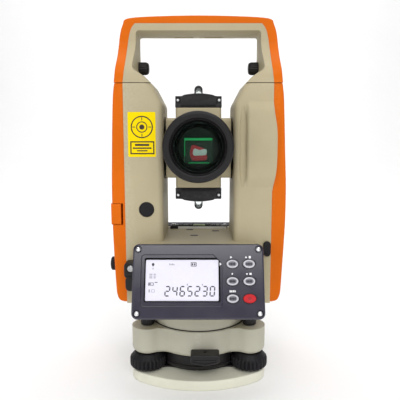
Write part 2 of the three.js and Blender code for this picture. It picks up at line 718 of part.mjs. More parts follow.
// The side view that the grip and the band share: deep at the feet, narrow at the bar.
function handleSide(margin) {
  const { footDepth, barDepth, taperStart, taperEnd } = HANDLE;
  const edge = [];
  for (let z = taperStart; z <= taperEnd; z += (taperEnd - taperStart) / 8) {
    const blend = (1 + Math.cos((Math.PI * (z - taperStart)) / (taperEnd - taperStart))) / 2;
    edge.push([barDepth + (footDepth - barDepth) * blend - margin, z]);
  }
  const right = [[footDepth - margin, 260], ...edge, [barDepth - margin, 340]];
  const left = right.map(([y, z]) => [-y, z]).reverse();
  return solid(alongX(polygon([...right, ...left]), -90, 90));
}

// What lies inside the orange band, from the front: the grip's outer line, moved out by a margin.
function gripOutline(margin) {
  const line = [
    [64.9, HANDLE.bottom], [63.8, 279], [63, 288], [62.8, 299], [61.9, 309], [59.6, 318],
    [56, HANDLE.gripTop]];
  const right = line.map(([x, z]) => [x + margin, z === HANDLE.gripTop ? z + margin : z]);
  return polygon([...right, ...right.map(([x, z]) => [-x, z]).reverse()]);
}

function handleGrip() {
  const { postInner, barBottom, shoulderZ, bottom, corner } = HANDLE;
  const opening = new THREE.Shape();
  opening.moveTo(-STANDARD.shoulderX, bottom - 1);
  opening.lineTo(-STANDARD.shoulderX, bottom);
  opening.lineTo(-45, shoulderZ);
  opening.lineTo(-postInner, shoulderZ);
  opening.absarc(corner - postInner, barBottom - corner, corner, 180 * DEG, 90 * DEG, true);
  opening.absarc(postInner - corner, barBottom - corner, corner, 90 * DEG, 0, true);
  opening.lineTo(postInner, shoulderZ);
  opening.lineTo(45, shoulderZ);
  opening.lineTo(STANDARD.shoulderX, bottom);
  opening.lineTo(STANDARD.shoulderX, bottom - 1);
  const holes = [-1, 1].map((side) => solid(
    rod('x', HANDLE_LOCK.shaftRadius + GAP, side * 50, side * (HANDLE_LOCK.shaftEnd + GAP), 12)
      .translate(0, 0, HANDLE_LOCK.z)));
  const blank = solid(alongY(gripOutline(0), -40, 40)).intersect(handleSide(0));
  return without(blank, [solid(alongY(opening, -50, 50)), ...holes]);
}

function handleBand() {
  const edge = [
    [72.8, HANDLE.bottom], [71.7, 281], [70.9, 292], [70.8, 301], [69.7, 312.5], [67, 322], [61.5, 327.6],
    [30, 329.5]];
  const outline = new THREE.Shape();
  outline.moveTo(...edge[0]);
  const across = [...edge.slice(1), [0, OVERALL_HEIGHT], ...edge.map(([x, z]) => [-x, z]).reverse()];
  outline.splineThru(across.map(([x, z]) => new THREE.Vector2(x, z)));
  const blank = solid(alongY(outline, -40, 40, 0, 2)).intersect(handleSide(1));
  const below = solid(block(-90, 90, -50, 50, 200, HANDLE.bottom));
  return without(blank, [below, solid(alongY(gripOutline(GAP), -50, 50))]);
}

function handleLock(side) {
  const { radius, inner, shaftRadius, shaftEnd, z } = HANDLE_LOCK;
  const profile = [
    [0, inner], [radius - 1.6, inner], [radius, inner + 1.8], [radius, HANDLE.postInner - GAP],
    [shaftRadius, HANDLE.postInner - GAP], [shaftRadius, shaftEnd], [0, shaftEnd],
  ];
  const lock = solid(turned('x', profile, 22));
  return (side > 0 ? lock : lock.rotate([0, 180, 0])).translate([0, 0, z]);
}

add('handle_grip', handleGrip(), 'beige');
add('handle_band', handleBand(), 'orange');
add('handle_lock_left', handleLock(-1), 'black');
add('handle_lock_right', handleLock(1), 'black');

export default instrument;
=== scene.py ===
import json
import math
import random

import bmesh
import bpy
from mathutils import Matrix, Vector


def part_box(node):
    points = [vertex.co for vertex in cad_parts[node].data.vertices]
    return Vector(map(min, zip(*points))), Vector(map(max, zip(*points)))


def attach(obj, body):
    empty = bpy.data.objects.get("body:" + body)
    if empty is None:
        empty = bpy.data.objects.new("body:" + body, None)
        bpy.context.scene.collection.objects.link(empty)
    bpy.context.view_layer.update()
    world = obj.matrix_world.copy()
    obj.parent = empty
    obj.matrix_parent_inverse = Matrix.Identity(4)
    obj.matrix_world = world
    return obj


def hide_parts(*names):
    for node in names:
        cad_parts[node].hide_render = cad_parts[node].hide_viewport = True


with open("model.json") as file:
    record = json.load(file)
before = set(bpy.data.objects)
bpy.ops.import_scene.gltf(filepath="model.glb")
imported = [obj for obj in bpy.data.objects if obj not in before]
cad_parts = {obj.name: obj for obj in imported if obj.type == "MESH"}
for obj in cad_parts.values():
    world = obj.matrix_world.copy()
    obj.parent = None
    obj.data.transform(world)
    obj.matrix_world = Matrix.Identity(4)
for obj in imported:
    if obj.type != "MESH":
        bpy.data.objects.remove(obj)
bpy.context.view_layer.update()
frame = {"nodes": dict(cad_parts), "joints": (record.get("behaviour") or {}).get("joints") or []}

# ---- places taken from the frame

MM = 0.001
JOINTS = {joint["name"]: joint for joint in frame["joints"]}


def span(node):
    """The lowest and highest corners of a CAD node, in millimetres."""
    low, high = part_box(node)
    return low / MM, high / MM


def pivot(joint):
    """A joint's place, in millimetres."""
    return Vector(JOINTS[joint]["pos_m"]) / MM


AXIS_Z = pivot("telescope_turn").z
SCREWS = [pivot(f"foot_screw_{i}_turn") for i in (1, 2, 3)]
SCREW_PITCH = SCREWS[0].xy.length
SCREW_ANGLES = (330, 90, 210)
YOKE_LOW, YOKE_HIGH = span("alidade_frame")
BODY_LOW, BODY_HIGH = span("tribrach_body")
# The clearance between neighbouring pieces.
GAP = 0.3
# The round base of the alidade, and the circle that the three centring pegs stand on.
DRUM_RADIUS = 46.4
PEG_CIRCLE = 33
# Farther out than any side cover.
OUTSIDE = 95
# How far the telescope looks up at rest.
SIGHT_TILT = math.radians(2.5)
# Where the vertical clamp and the plug are centred, on the left standard.
CLAMP = (-48, 0, 160)
PLUG = (-46, 0, 160)

# ---- outlines


def polar(radius, degrees):
    angle = math.radians(degrees)
    return (radius * math.cos(angle), radius * math.sin(angle))


def arc(centre, radius, start, end, steps=10):
    """Points on an arc from start to end degrees."""
    out = []
    for k in range(steps + 1):
        a, b = polar(radius, start + (end - start) * k / steps)
        out.append((centre[0] + a, centre[1] + b))
    return out


def fillet(points, steps=6, closed=True):
    """Rounds the corners of a polyline whose points are (a, b) or (a, b, radius)."""
    out = []
    count = len(points)
    for i, point in enumerate(points):
        radius = point[2] if len(point) > 2 else 0
        here = Vector(point[:2])
        if radius == 0 or (not closed and i in (0, count - 1)):
            out.append(tuple(here))
            continue
        before = Vector(points[i - 1][:2]) - here
        after = Vector(points[(i + 1) % count][:2]) - here
        half = before.angle(after) / 2
        if half > math.radians(89):
            out.append(tuple(here))
            continue
        reach = min(radius / math.tan(half), 0.49 * before.length, 0.49 * after.length)
        before.normalize()
        after.normalize()
        radius = reach * math.tan(half)
        centre = here + (before + after).normalized() * (radius / math.sin(half))
        first = here + before * reach - centre
        last = here + after * reach - centre
        start = math.degrees(math.atan2(first.y, first.x))
        turn = math.degrees(math.atan2(last.y, last.x)) - start
        turn = (turn + 180) % 360 - 180
        out += arc(centre, radius, start, start + turn, steps)
    return out


def rounded_box(a0, a1, b0, b1, radius, steps=6):
    return fillet([(a0, b0, radius), (a1, b0, radius), (a1, b1, radius), (a0, b1, radius)], steps)


def oval(a, b, half_a, half_b, steps=40):
    out = []
    for k in range(steps):
        angle = 2 * math.pi * k / steps
        out.append((a + half_a * math.cos(angle), b + half_b * math.sin(angle)))
    return out


def symmetric(right):
    """An outline from its right half, which may end on the middle line."""
    return right + [(-point[0], *point[1:]) for point in reversed(right) if point[0] > 0]


def smooth(points, steps=8):
    """A Catmull-Rom curve through the points."""
    padded = [points[0], *points, points[-1]]
    out = []
    for i in range(1, len(padded) - 2):
        p0, p1, p2, p3 = (Vector(p) for p in padded[i - 1 : i + 3])
        slope = p2 - p0
        bend = 2 * p0 - 5 * p1 + 4 * p2 - p3
        twist = 3 * p1 - p0 - 3 * p2 + p3
        for k in range(steps):
            t = k / steps
            out.append(tuple(0.5 * (2 * p1 + slope * t + bend * t * t + twist * t * t * t)))
    out.append(tuple(points[-1]))
    return out


# ---- mesh building

PLACE = {
    "X": lambda a, b, t: (t, a, b),
    "Y": lambda a, b, t: (a, t, b),
    "Z": lambda a, b, t: (a, b, t),
}


def build(name, verts, faces):
    """An object from vertices in millimetres, with its faces turned outwards."""
    mesh = bpy.data.meshes.new(name)
    mesh.from_pydata([tuple(c * MM for c in v) for v in verts], [], faces)
    work = bmesh.new()
    work.from_mesh(mesh)
    bmesh.ops.remove_doubles(work, verts=work.verts, dist=1e-7)
    bmesh.ops.recalc_face_normals(work, faces=work.faces)
    work.to_mesh(mesh)
    work.free()
    obj = bpy.data.objects.new(name, mesh)
    bpy.context.scene.collection.objects.link(obj)
    return obj


def prism(name, outline, low, high, axis="Y"):
    """An outline pulled along an axis from low to high."""
    count = len(outline)
    verts = [PLACE[axis](a, b, t) for t in (low, high) for a, b in outline]
    faces = [list(range(count)), list(range(count, 2 * count))]
    for i in range(count):
        j = (i + 1) % count
        faces.append([i, j, j + count, i + count])
    return build(name, verts, faces)


def lathe(name, profile, axis="Z", centre=(0, 0, 0), steps=64):
    """A profile of (radius, distance along the axis) turned about an axis through the centre."""
    verts = []
    rings = []
    for radius, t in profile:
        if radius < 1e-6:
            rings.append([len(verts)] * steps)
            verts.append(Vector(PLACE[axis](0, 0, t)))
        else:
            rings.append([len(verts) + k for k in range(steps)])
            for k in range(steps):
                a, b = polar(radius, 360 * k / steps)
                verts.append(Vector(PLACE[axis](a, b, t)))
    faces = []
    open_ends = profile[0][0] > 1e-6 or profile[-1][0] > 1e-6
    pairs = list(zip(rings, rings[1:]))
    if open_ends:
        pairs.append((rings[-1], rings[0]))
    for lower, upper in pairs:
        for k in range(steps):
            j = (k + 1) % steps
            face = [lower[k], lower[j], upper[j], upper[k]]
            face = [v for i, v in enumerate(face) if v not in face[:i]]
            if len(face) > 2:
                faces.append(face)
    offset = Vector(centre)
    return build(name, [v + offset for v in verts], faces)


def block(name, low, high):
    corners = [(low[0], low[1]), (high[0], low[1]), (high[0], high[1]), (low[0], high[1])]
    return prism(name, corners, low[2], high[2], "Z")


def bake(obj):
    """Turns an object's modifiers into mesh."""
    graph = bpy.context.evaluated_depsgraph_get()
    mesh = bpy.data.meshes.new_from_object(obj.evaluated_get(graph))
    obj.modifiers.clear()
    old = obj.data
    obj.data = mesh
    bpy.data.meshes.remove(old)
    return obj


def bevel(obj, width, segments=3, angle=35):
    modifier = obj.modifiers.new("edge", "BEVEL")
    modifier.width = width * MM
    modifier.segments = segments
    modifier.limit_method = "ANGLE"
    modifier.angle_limit = math.radians(angle)
    return bake(obj)


def bevel_where(obj, width, segments, test):
    """Rounds the sharp edges whose middles, in millimetres, pass a test."""
    work = bmesh.new()
    work.from_mesh(obj.data)
    chosen = []
    for edge in work.edges:
        middle = (edge.verts[0].co + edge.verts[1].co) / (2 * MM)
        if edge.calc_face_angle(0) > math.radians(40) and test(middle):
            chosen.append(edge)
    bmesh.ops.bevel(work, geom=chosen, offset=width * MM, segments=segments, affect="EDGES", profile=0.5,
        clamp_overlap=True)
    work.to_mesh(obj.data)
    work.free()
    return obj


def boolean(obj, tools, operation):
    for tool in tools:
        modifier = obj.modifiers.new("tool", "BOOLEAN")
        modifier.operation = operation
        modifier.object = tool
        modifier.solver = "EXACT"
        bake(obj)
        bpy.data.objects.remove(tool)
    return obj


def cut(obj, *tools):
    return boolean(obj, tools, "DIFFERENCE")


def fuse(obj, *tools):
    return boolean(obj, tools, "UNION")


def keep_inside(obj, *tools):
    return boolean(obj, tools, "INTERSECT")


def gather(name, parts):
    """Several separate meshes as one object."""
    work = bmesh.new()
    for part in parts:
        work.from_mesh(part.data)
        bpy.data.objects.remove(part)
    mesh = bpy.data.meshes.new(name)
    work.to_mesh(mesh)
    work.free()
    obj = bpy.data.objects.new(name, mesh)
    bpy.context.scene.collection.objects.link(obj)
    return obj


def move(obj, matrix):
    obj.data.transform(matrix)
    return obj


def shifted(obj, x=0, y=0, z=0):
    return move(obj, Matrix.Translation(Vector((x, y, z)) * MM))


def piece(obj, body, material, replaces=(), sharp=32, slot=None):
    """Shades a piece, gives it its material and says what it rides on and stands for.

    The slot argument is not used: the usual slot for the material is looked up, but nothing is done with
    it.
    """
    slot = slot or USUAL_SLOTS[material.name]
    mesh = obj.data
    mesh.shade_smooth()
    mesh.set_sharp_from_angle(angle=math.radians(sharp))
    modifier = obj.modifiers.new("normals", "WEIGHTED_NORMAL")
    modifier.keep_sharp = True
    modifier.weight = 80
    bake(obj)
    obj.data.materials.clear()
    obj.data.materials.append(material)
    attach(obj, body)
    if replaces:
        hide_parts(*replaces)
    return obj


# ---- materials


class Surface:
    """A procedural material, built up from noise over the piece's own coordinates."""

    def __init__(self, name, roughness, metallic=0.0):
        self.material = bpy.data.materials.new(name)
        self.material.use_nodes = True
        self.tree = self.material.node_tree
        self.shader = self.tree.nodes["Principled BSDF"]
        self.place = self.node("TexCoord").outputs["Object"]
        self.normal = None
        self.set(roughness=roughness, metallic=metallic)

    def join(self, socket, value):
        """Links a socket to another node's output, or gives it a fixed value."""
        if isinstance(value, bpy.types.NodeSocket):
            self.tree.links.new(value, socket)
        else:
            socket.default_value = value

    def fill(self, node, values):
        """Joins a node's inputs, which are given by name."""
        for name, value in values.items():
            self.join(node.inputs[name.replace("_", " ").title().replace("Ior", "IOR")], value)

    def node(self, kind, **values):
        node = self.tree.nodes.new("ShaderNode" + kind)
        self.fill(node, values)
        return node

    def set(self, **values):
        """Sets or links the shader's own inputs."""
        self.fill(self.shader, values)

    def noise(self, scale, detail=3, roughness=0.55, stretch=None):
        place = self.place
        if stretch:
            place = self.node("Mapping", scale=stretch, vector=place).outputs["Vector"]
        return self.node("TexNoise", scale=scale, detail=detail, roughness=roughness,
            vector=place).outputs["Fac"]

    def ramp(self, value, low, high, low_value=0.0, high_value=1.0):
        node = self.node("MapRange", value=value, from_min=low, from_max=high, to_min=low_value,
            to_max=high_value)
        return node.outputs["Result"]

    def cloud(self, scale, detail, *limits):
        """Noise pulled out between two of its values."""
        return self.ramp(self.noise(scale, detail), *limits)

    def mix(self, factor, first, second):
        node = self.node("Mix")
        node.data_type = "RGBA"
        self.fill(node, {"factor": factor})
        colours = [s for s in node.inputs if s.type == "RGBA"]
        for socket, value in zip(colours, (first, second)):
            self.join(socket, (*value, 1) if isinstance(value, tuple) else value)
        return [s for s in node.outputs if s.type == "RGBA"][0]

    def bump(self, value, strength, distance):
        """A bump on top of those already there."""
        below = {"normal": self.normal} if self.normal else {}
        node = self.node("Bump", height=value, strength=strength, distance=distance, **below)
        self.normal = node.outputs["Normal"]
        self.set(normal=self.normal)

    def edges(self):
        """How far a point lies on a raised edge, broken up by noise."""
        edge = self.ramp(self.node("NewGeometry").outputs["Pointiness"], 0.55, 0.66, 0.0, 0.45)
        node = self.node("Math")
        node.operation = "MULTIPLY"
        for socket, value in zip(node.inputs, (edge, self.cloud(420, 4, 0.35, 0.65))):
            self.join(socket, value)
        return node.outputs[0]


def scaled(colour, factor):
    return tuple(min(1.0, c * factor) for c in colour)


def coated(name, colour, roughness, worn=None, grain=0.1, blotch=0.04, specular=0.35):
    """Paint or moulded plastic: faint blotches, a fine grain, dulled patches and lightly worn edges."""
    surface = Surface(name, roughness)
    tone = surface.mix(surface.cloud(22, 4, 0.35, 0.65), scaled(colour, 1 - blotch),
        scaled(colour, 1 + blotch))
    tone = surface.mix(surface.cloud(1500, 2, 0.62, 0.74, 0.0, 0.25), tone, scaled(colour, 0.82))
    if worn:
        tone = surface.mix(surface.edges(), tone, worn)
    dulled = surface.cloud(60, 3, 0.3, 0.7, roughness - 0.03, roughness + 0.05)
    surface.bump(surface.noise(2600, 2), grain, 0.00006)
    surface.bump(surface.noise(90, 2), 0.03, 0.0002)
    surface.set(base_color=tone, roughness=dulled, specular_ior_level=specular)
    return surface.material


def metal(name, colour, roughness, stretch=(1, 1, 1), brushed=0.15):
    """Turned or brushed metal, with fine lines along one direction."""
    surface = Surface(name, roughness, 1.0)
    lines = surface.noise(900, 4, 0.7, stretch)
    tone = surface.mix(surface.ramp(lines, 0.3, 0.7), scaled(colour, 0.82), scaled(colour, 1.08))
    surface.bump(lines, brushed, 0.00005)
    surface.set(base_color=tone, roughness=surface.cloud(300, 4, 0.3, 0.7, roughness * 0.7,
        roughness * 1.5))
    return surface.material


def glass(name, colour, roughness=0.02, ior=1.5):
    surface = Surface(name, roughness)
    tone = surface.mix(surface.cloud(45, 3, 0.3, 0.7), scaled(colour, 0.92), colour)
    smears = surface.cloud(160, 4, 0.45, 0.8, roughness, roughness + 0.05)
    surface.set(base_color=tone, roughness=smears, transmission_weight=1.0, ior=ior)
    return surface.material


BEIGE_PAINT = coated("beige_powder_coat", (0.482, 0.420, 0.276), 0.50, (0.60, 0.54, 0.40), 0.14,
    specular=0.1)
TRIBRACH_PAINT = coated("tribrach_powder_coat", (0.49, 0.475, 0.385), 0.44, (0.62, 0.60, 0.52), 0.14,
    specular=0.25)
IVORY_PAINT = coated("ivory_enamel", (0.80, 0.79, 0.66), 0.36, (0.86, 0.85, 0.78))
ORANGE = coated("orange_shell", (0.71, 0.141, 0.002), 0.42, (0.80, 0.26, 0.04), specular=0.12)
PANEL = coated("panel_plastic", (0.026, 0.023, 0.042), 0.19, None, 0.06, 0.05, specular=0.7)
BLACK = coated("black_plastic", (0.008, 0.007, 0.008), 0.40, (0.05, 0.048, 0.05), 0.18, 0.1)
HOOD = coated("hood_lacquer", (0.009, 0.008, 0.009), 0.40, (0.04, 0.038, 0.038), 0.12, 0.08, specular=0.28)
MATT_BLACK = coated("baffle_black", (0.003, 0.003, 0.003), 0.75, grain=0.2, blotch=0.1, specular=0.1)
RUBBER = coated("knob_rubber", (0.008, 0.007, 0.009), 0.52, (0.03, 0.028, 0.03), 0.25, 0.12, specular=0.25)
STEEL = metal("turned_steel", (0.55, 0.55, 0.56), 0.28, stretch=(1, 1, 14))
CHROME = metal("screw_chrome", (0.86, 0.86, 0.88), 0.3, brushed=0.05)
SCREEN = coated("display_screen", (0.84, 0.82, 0.94), 0.25, grain=0.02, blotch=0.02)
SEGMENT = coated("display_segment", (0.045, 0.045, 0.055), 0.3, grain=0.02)
SEGMENT_FAINT = coated("display_segment_faint", (0.40, 0.40, 0.44), 0.3, grain=0.02)
KEY_GREY = coated("key_silicone", (0.62, 0.61, 0.66), 0.5, grain=0.2)
KEY_WELL = coated("key_well", (0.24, 0.235, 0.27), 0.5, grain=0.2)
KEY_DARK = coated("key_legend_dark", (0.035, 0.034, 0.045), 0.45)
KEY_RED = coated("key_silicone_red", (0.56, 0.016, 0.022), 0.42, grain=0.2, specular=0.25)
LEGEND = coated("legend_white", (0.90, 0.90, 0.92), 0.5, grain=0.05)
LABEL = coated("label_yellow", (1.0, 0.74, 0.0), 0.45, grain=0.05, blotch=0.02, specular=0.1)
LABEL_INK = coated("label_ink", (0.05, 0.03, 0.02), 0.5, grain=0.05)
# White for the level bubbles, and for the painted reflection on the plate level's case.
WHITE = coated("white_enamel", (0.80, 0.80, 0.78), 0.35, grain=0.05)
PLATFORM = coated("platform_mark", (0.03, 0.029, 0.026), 0.5)
OBJECTIVE = glass("objective_coating", (0.70, 0.92, 0.80), 0.01, 1.12)
CLEAR = glass("clear_glass", (0.86, 0.93, 0.90))
VIAL = glass("vial_spirit", (0.70, 0.90, 0.42), 0.02, 1.4)
# The prism's green edge, bright as a painted highlight on the lit edges and dark as painted shade on the
# others.
PRISM_EDGE_HIGHLIGHT = coated("prism_edge", (0.004, 0.50, 0.14), 0.3, grain=0.02)
PRISM_EDGE_SHADE = coated("prism_edge_dim", (0.003, 0.09, 0.035), 0.3, grain=0.02)
PRISM_FACE = coated("prism_face", (0.004, 0.010, 0.006), 0.1, grain=0.02, specular=0.2)
# Red and pale patches on the prism face: painted reflections.
PRISM_RED_REFLECTION = coated("prism_red_painted_reflection", (0.50, 0.008, 0.026), 0.3, grain=0.02, blotch=0.3)
PRISM_PALE_REFLECTION = coated("prism_pale_coating", (0.62, 0.50, 0.58), 0.3, grain=0.02, blotch=0.35)

# The record's material slot that each material usually takes its finish from.
USUAL_SLOTS = {material.name: slot for slot, materials in {
    "beige_paint": (BEIGE_PAINT, TRIBRACH_PAINT),
    "ivory_paint": (IVORY_PAINT, LEGEND, LABEL),
    "orange_shell": (ORANGE,),
    "panel_plastic": (PANEL,),
    "black_plastic": (BLACK, HOOD, MATT_BLACK, SEGMENT, SEGMENT_FAINT, LABEL_INK, PLATFORM),
    "knob_rubber": (RUBBER,),
    "steel": (STEEL, CHROME),
    "display_glass": (SCREEN,),
    "key_grey": (KEY_GREY, KEY_WELL, KEY_DARK),
    "key_red": (KEY_RED,),
    "clear_glass": (WHITE, CLEAR, VIAL),
    "coated_glass": (OBJECTIVE, PRISM_FACE, PRISM_RED_REFLECTION, PRISM_PALE_REFLECTION, PRISM_EDGE_HIGHLIGHT, PRISM_EDGE_SHADE),
}.items() for material in materials}

# ---- tribrach


def bulging_triangle(side_distance=57.4, side_radius=95, corner_radius=20, steps=16):
    """A triangle with bulging sides and round corners, a corner over each foot screw."""
    offset = side_radius - side_distance
    reach = side_radius - corner_radius
    corner = (-offset + math.sqrt(4 * reach * reach - 3 * offset * offset)) / 2
    out = []
    for angle in SCREW_ANGLES:
        centre = Vector(polar(corner, angle))
        before = Vector(polar(offset, angle + 120))
        after = Vector(polar(offset, angle - 120))
        following = Vector(polar(corner, angle + 120))

        def heading(a, b):
            return math.degrees(math.atan2(b.y - a.y, b.x - a.x))

        start, middle, end = heading(before, centre), heading(after, centre), heading(after, following)
        middle = start + (middle - start) % 360
        end = middle + (end - middle) % 360
        out += arc(centre, corner_radius, start, middle, steps)
        out += arc(after, side_radius, middle, end, steps * 2)[1:-1]
    return out


def lobed(drum, lobe, blend, steps=10):
    """A drum with three lobes over the foot screws, each blended into it."""
    to_blend = drum + blend
    cosine = (to_blend ** 2 + SCREW_PITCH ** 2 - (lobe + blend) ** 2) / (2 * to_blend * SCREW_PITCH)
    spread = math.degrees(math.acos(cosine))
    out = []
    for angle in SCREW_ANGLES:
        centre = Vector(polar(SCREW_PITCH, angle))
        before = Vector(polar(to_blend, angle - spread))
        after = Vector(polar(to_blend, angle + spread))
        first = math.degrees(math.atan2(*reversed(before - centre)))
        last = math.degrees(math.atan2(*reversed(after - centre)))
        last = first + (last - first) % 360
        turn = (first + 180 - (angle - spread + 180)) % 360 - 360
        out += arc(before, blend, angle - spread + 180, angle - spread + 180 + turn, steps)
        out += arc(centre, lobe, first, last, steps * 2)[1:-1]
        turn = (angle + spread + 180 - (last + 180)) % 360 - 360
        out += arc(after, blend, last + 180, last + 180 + turn, steps)
        out += arc((0, 0), drum, angle + spread, angle + 120 - spread, steps * 2)[1:-1]
    return out


def rod(name, radius, low, high, axis="Z", centre=(0, 0, 0), steps=40):
    return lathe(name, [(0, low), (radius, low), (radius, high), (0, high)], axis, centre, steps)


def tube(name, inner, outer, low, high, axis="Z", centre=(0, 0, 0), steps=96):
    return lathe(name, [(inner, low), (outer, low), (outer, high), (inner, high)], axis, centre, steps)


def plate(name, a0, a1, b0, b1, radius, low, high, axis="Y", steps=6):
    """A rounded box pulled along an axis from low to high."""
    return prism(name, rounded_box(a0, a1, b0, b1, radius, steps), low, high, axis)


def screw_holes(radius, low, high, steps=32):
    """Tools that bore over every foot screw."""
    return [rod("tool", radius, low, high, "Z", (s.x, s.y, 0), steps) for s in SCREWS]


def three_places(radius, first=30):
    """Places on a circle about the vertical axis, a third of a turn apart."""
    return [(*polar(radius, first + 120 * k), 0) for k in range(3)]


def fluted(name, profile, count, axis="Z", centre=(0, 0, 0), power=2, detail=8):
    """A lathe whose profile points are (radius, distance, flute depth)."""
    steps = count * detail
    verts = []
    for radius, t, depth in profile:
        for k in range(steps):
            wave = (0.5 + 0.5 * math.cos(2 * math.pi * k / detail)) ** power
            a, b = polar(max(radius - depth * wave, 0.0), 360 * k / steps)
            verts.append(Vector(PLACE[axis](a, b, t)) + Vector(centre))
    faces = []
    for ring in range(len(profile) - 1):
        for k in range(steps):
            a, b = ring * steps + k, ring * steps + (k + 1) % steps
            faces.append([a, b, b + steps, a + steps])
    for ring in (0, len(profile) - 1):
        if profile[ring][0] > 0:
            faces.append([ring * steps + k for k in range(steps)])
    return build(name, verts, faces)


def screw_head(name, radius, height, axis="Z", centre=(0, 0, 0), facing=1, hexagon=True):
    """A round head with a driving recess, facing along its axis."""
    f = facing
    profile = [(0, -1.0 * f), (radius, -1.0 * f), (radius, height * 0.55 * f),
        (radius * 0.86, height * 0.9 * f), (radius * 0.7, height * f), (0, height * f)]
    head = lathe(name, profile, axis, centre, 32)
    if hexagon:
        sides = [polar(radius * 0.5, 60 * k) for k in range(6)]
    else:
        w = radius * 0.16
        r = radius * 0.62
        sides = [(w, r), (-w, r), (-w, w), (-r, w), (-r, -w), (-w, -w), (-w, -r), (w, -r), (w, -w), (r, -w),
            (r, w), (w, w)]
    tool = prism("tool", sides, height * 0.35 * f, height * 1.5 * f, axis)
    return cut(head, shifted(tool, *centre))


def base_plate():
    low, high = span("base_plate")
    top = high.z
    base = prism("base", bulging_triangle(), low.z, top, "Z")
    bevel(base, 1.3, 4, 40)
    under = lathe("tool", [(20, -2), (38, -2), (38, 0.8), (36.8, 1.6), (21.2, 1.6), (20, 0.8)], steps=72)
    cut(base, *screw_holes(4.6, top - 4, top + 3), rod("tool", 9.4, -5, 20, steps=64),
        tube("tool", 24, 33, top - 1.2, 20, steps=72), under)
    piece(base, "tribrach", IVORY_PAINT, ["base_plate"])

    profile = [(9.3, 0.1), (9.3, top - 0.1), (7.9, top - 0.1)]
    z = top - 0.9
    while z > 1.4:
        profile += [(7.15, z), (7.9, z - 1.15)]
        z -= 2.3
    profile.append((7.9, 0.1))
    piece(lathe("tripod_thread", profile), "tribrach", STEEL)
    for k, s in enumerate(SCREWS, 1):
        cup = [(4.3, top - 3.9), (5.9, top - 0.2), (5.9, top + 0.25), (4.45, top + 0.25)]
        piece(lathe(f"foot_cup_{k}", cup, "Z", (s.x, s.y, 0), 40), "tribrach", STEEL)


def spring_plate():
    low, high = span("spring_plate")
    leaf = prism("spring_leaf", lobed(38, 10, 20), low.z, high.z, "Z")
    bevel(leaf, 0.3, 2, 40)
    cut(leaf, *screw_holes(4.3, 0, 20), rod("tool", 22, 0, 20, steps=64))
    piece(leaf, "tribrach", BLACK, ["spring_plate"])
    for k, (x, y, _) in enumerate(three_places(30), 1):
        piece(screw_head(f"leaf_screw_{k}", 2.6, 1.1, "Z", (x, y, high.z), 1, False), "tribrach", STEEL)


def tribrach_hub():
    low, high = span("tribrach_hub")
    drum = lathe("hub", [(22, low.z), (41, low.z), (42.5, low.z + 1.5), (42.5, low.z + 3.4),
        (41.6, low.z + 4.1), (41.6, high.z - 1.2), (41, high.z - 0.6), (41, high.z), (22, high.z)],
        steps=96)
    cut(drum, *screw_holes(18.2, low.z - 3, high.z + 1, 64))
    piece(drum, "tribrach", BLACK, ["tribrach_hub"])


def tribrach_body():
    low, high = BODY_LOW.z, BODY_HIGH.z
    edge = 6
    body = prism("tribrach_shell", lobed(47.8, 14.3, 12), low, high + 2 * edge, "Z")
    bevel(body, edge, 7, 40)
    cut(body, block("tool", (-90, -90, high), (90, 90, high + 30)))
    level = sum(span("circular_level"), Vector()) / 2
    boss = [(0, 38), (10, 38), (11, 39), (11, high - 1), (10, high), (0, high)]
    for share in (1, 0.86):
        fuse(body, lathe("boss", boss, "Z", (level.x * share, level.y * share, 0), 56))
    knob = pivot("lock_knob_turn")
    cut(body, rod("tool", 24, 0, 80, steps=72), rod("tool", 41, 0, 37.5, steps=96),
        *[rod("tool", 5.6, 30, 80, "Z", place, 28) for place in three_places(PEG_CIRCLE)],
        *screw_holes(5.3, 0, 47.3), rod("tool", 2.8, -70, -30, "Y", (knob.x, 0, knob.z), 24),
        tube("tool", 47.1, 52, high - 0.5, high + 4))
    piece(body, "tribrach", TRIBRACH_PAINT, ["tribrach_body"])
    # A black ring along the joint under the centring base: painted shadow in that joint.
    piece(tube("joint_painted_shadow_ring", 45.3, 47.0, high - 0.4, high + 0.25), "tribrach", BLACK)
    for k, place in enumerate(three_places(42.4, 90), 1):
        piece(rod(f"peg_seat_{k}", 2.2, high - 1, high + 0.1, "Z", place, 24), "tribrach", STEEL)


def lock_parts():
    low, high = span("tribrach_lock_ring")
    ring = lathe("clamp_ring", [(26, low.z), (39.4, low.z), (40, low.z + 0.6), (40, high.z - 0.6),
        (39.4, high.z), (26, high.z)], steps=96)
    cut(ring, *[rod("tool", 4.2, low.z - 2, high.z + 2, "Z", place, 32) for place in three_places(26)])
    piece(ring, "tribrach_lock_ring", STEEL, ["tribrach_lock_ring"])

    node = "tribrach_lock_knob"
    low, high = span(node)
    x, z = pivot("lock_knob_turn").xz
    screw_y = -57.5

    def shield(inset, top, shoulder, tip, radii, steps):
        """The lever's outline, square above and pointed below, measured in from the node's box."""
        left, right = low.x + inset, high.x - inset
        return fillet([(left, high.z - top, radii[0]), (left, low.z + shoulder, radii[1]),
            (x, low.z + tip, radii[2]), (right, low.z + shoulder, radii[1]),
            (right, high.z - top, radii[0])], steps)

    lever = prism("clamp_lever", shield(0, 0, 2.8, 0, (1.6, 2.0, 3.0), 5), low.y, -51)
    bevel(lever, 1.1, 4, 40)
    cut(lever, prism("tool", shield(2.2, 2.0, 4.2, 2.2, (1.2, 1.2, 2), 4), low.y - 3, low.y + 0.6),
        rod("tool", 1.5, high.z - 2.5, high.z + 2, "Z", (x, screw_y, 0), 24))
    fuse(lever, rod("shaft", 2.5, -52, -42, "Y", (x, 0, z), 28))
    piece(lever, node, BLACK, [node])
    piece(screw_head("lever_screw", 1.35, 0.7, "Z", (x, screw_y, high.z - 2.2)), node, STEEL)
    ridge = plate("lever_ridge", low.x + 3.2, high.x - 3.2, z - 0.6, z + 0.6, 0.5, low.y + 0.1, low.y + 1.4)
    piece(bevel(ridge, 0.25, 2, 40), node, BLACK)


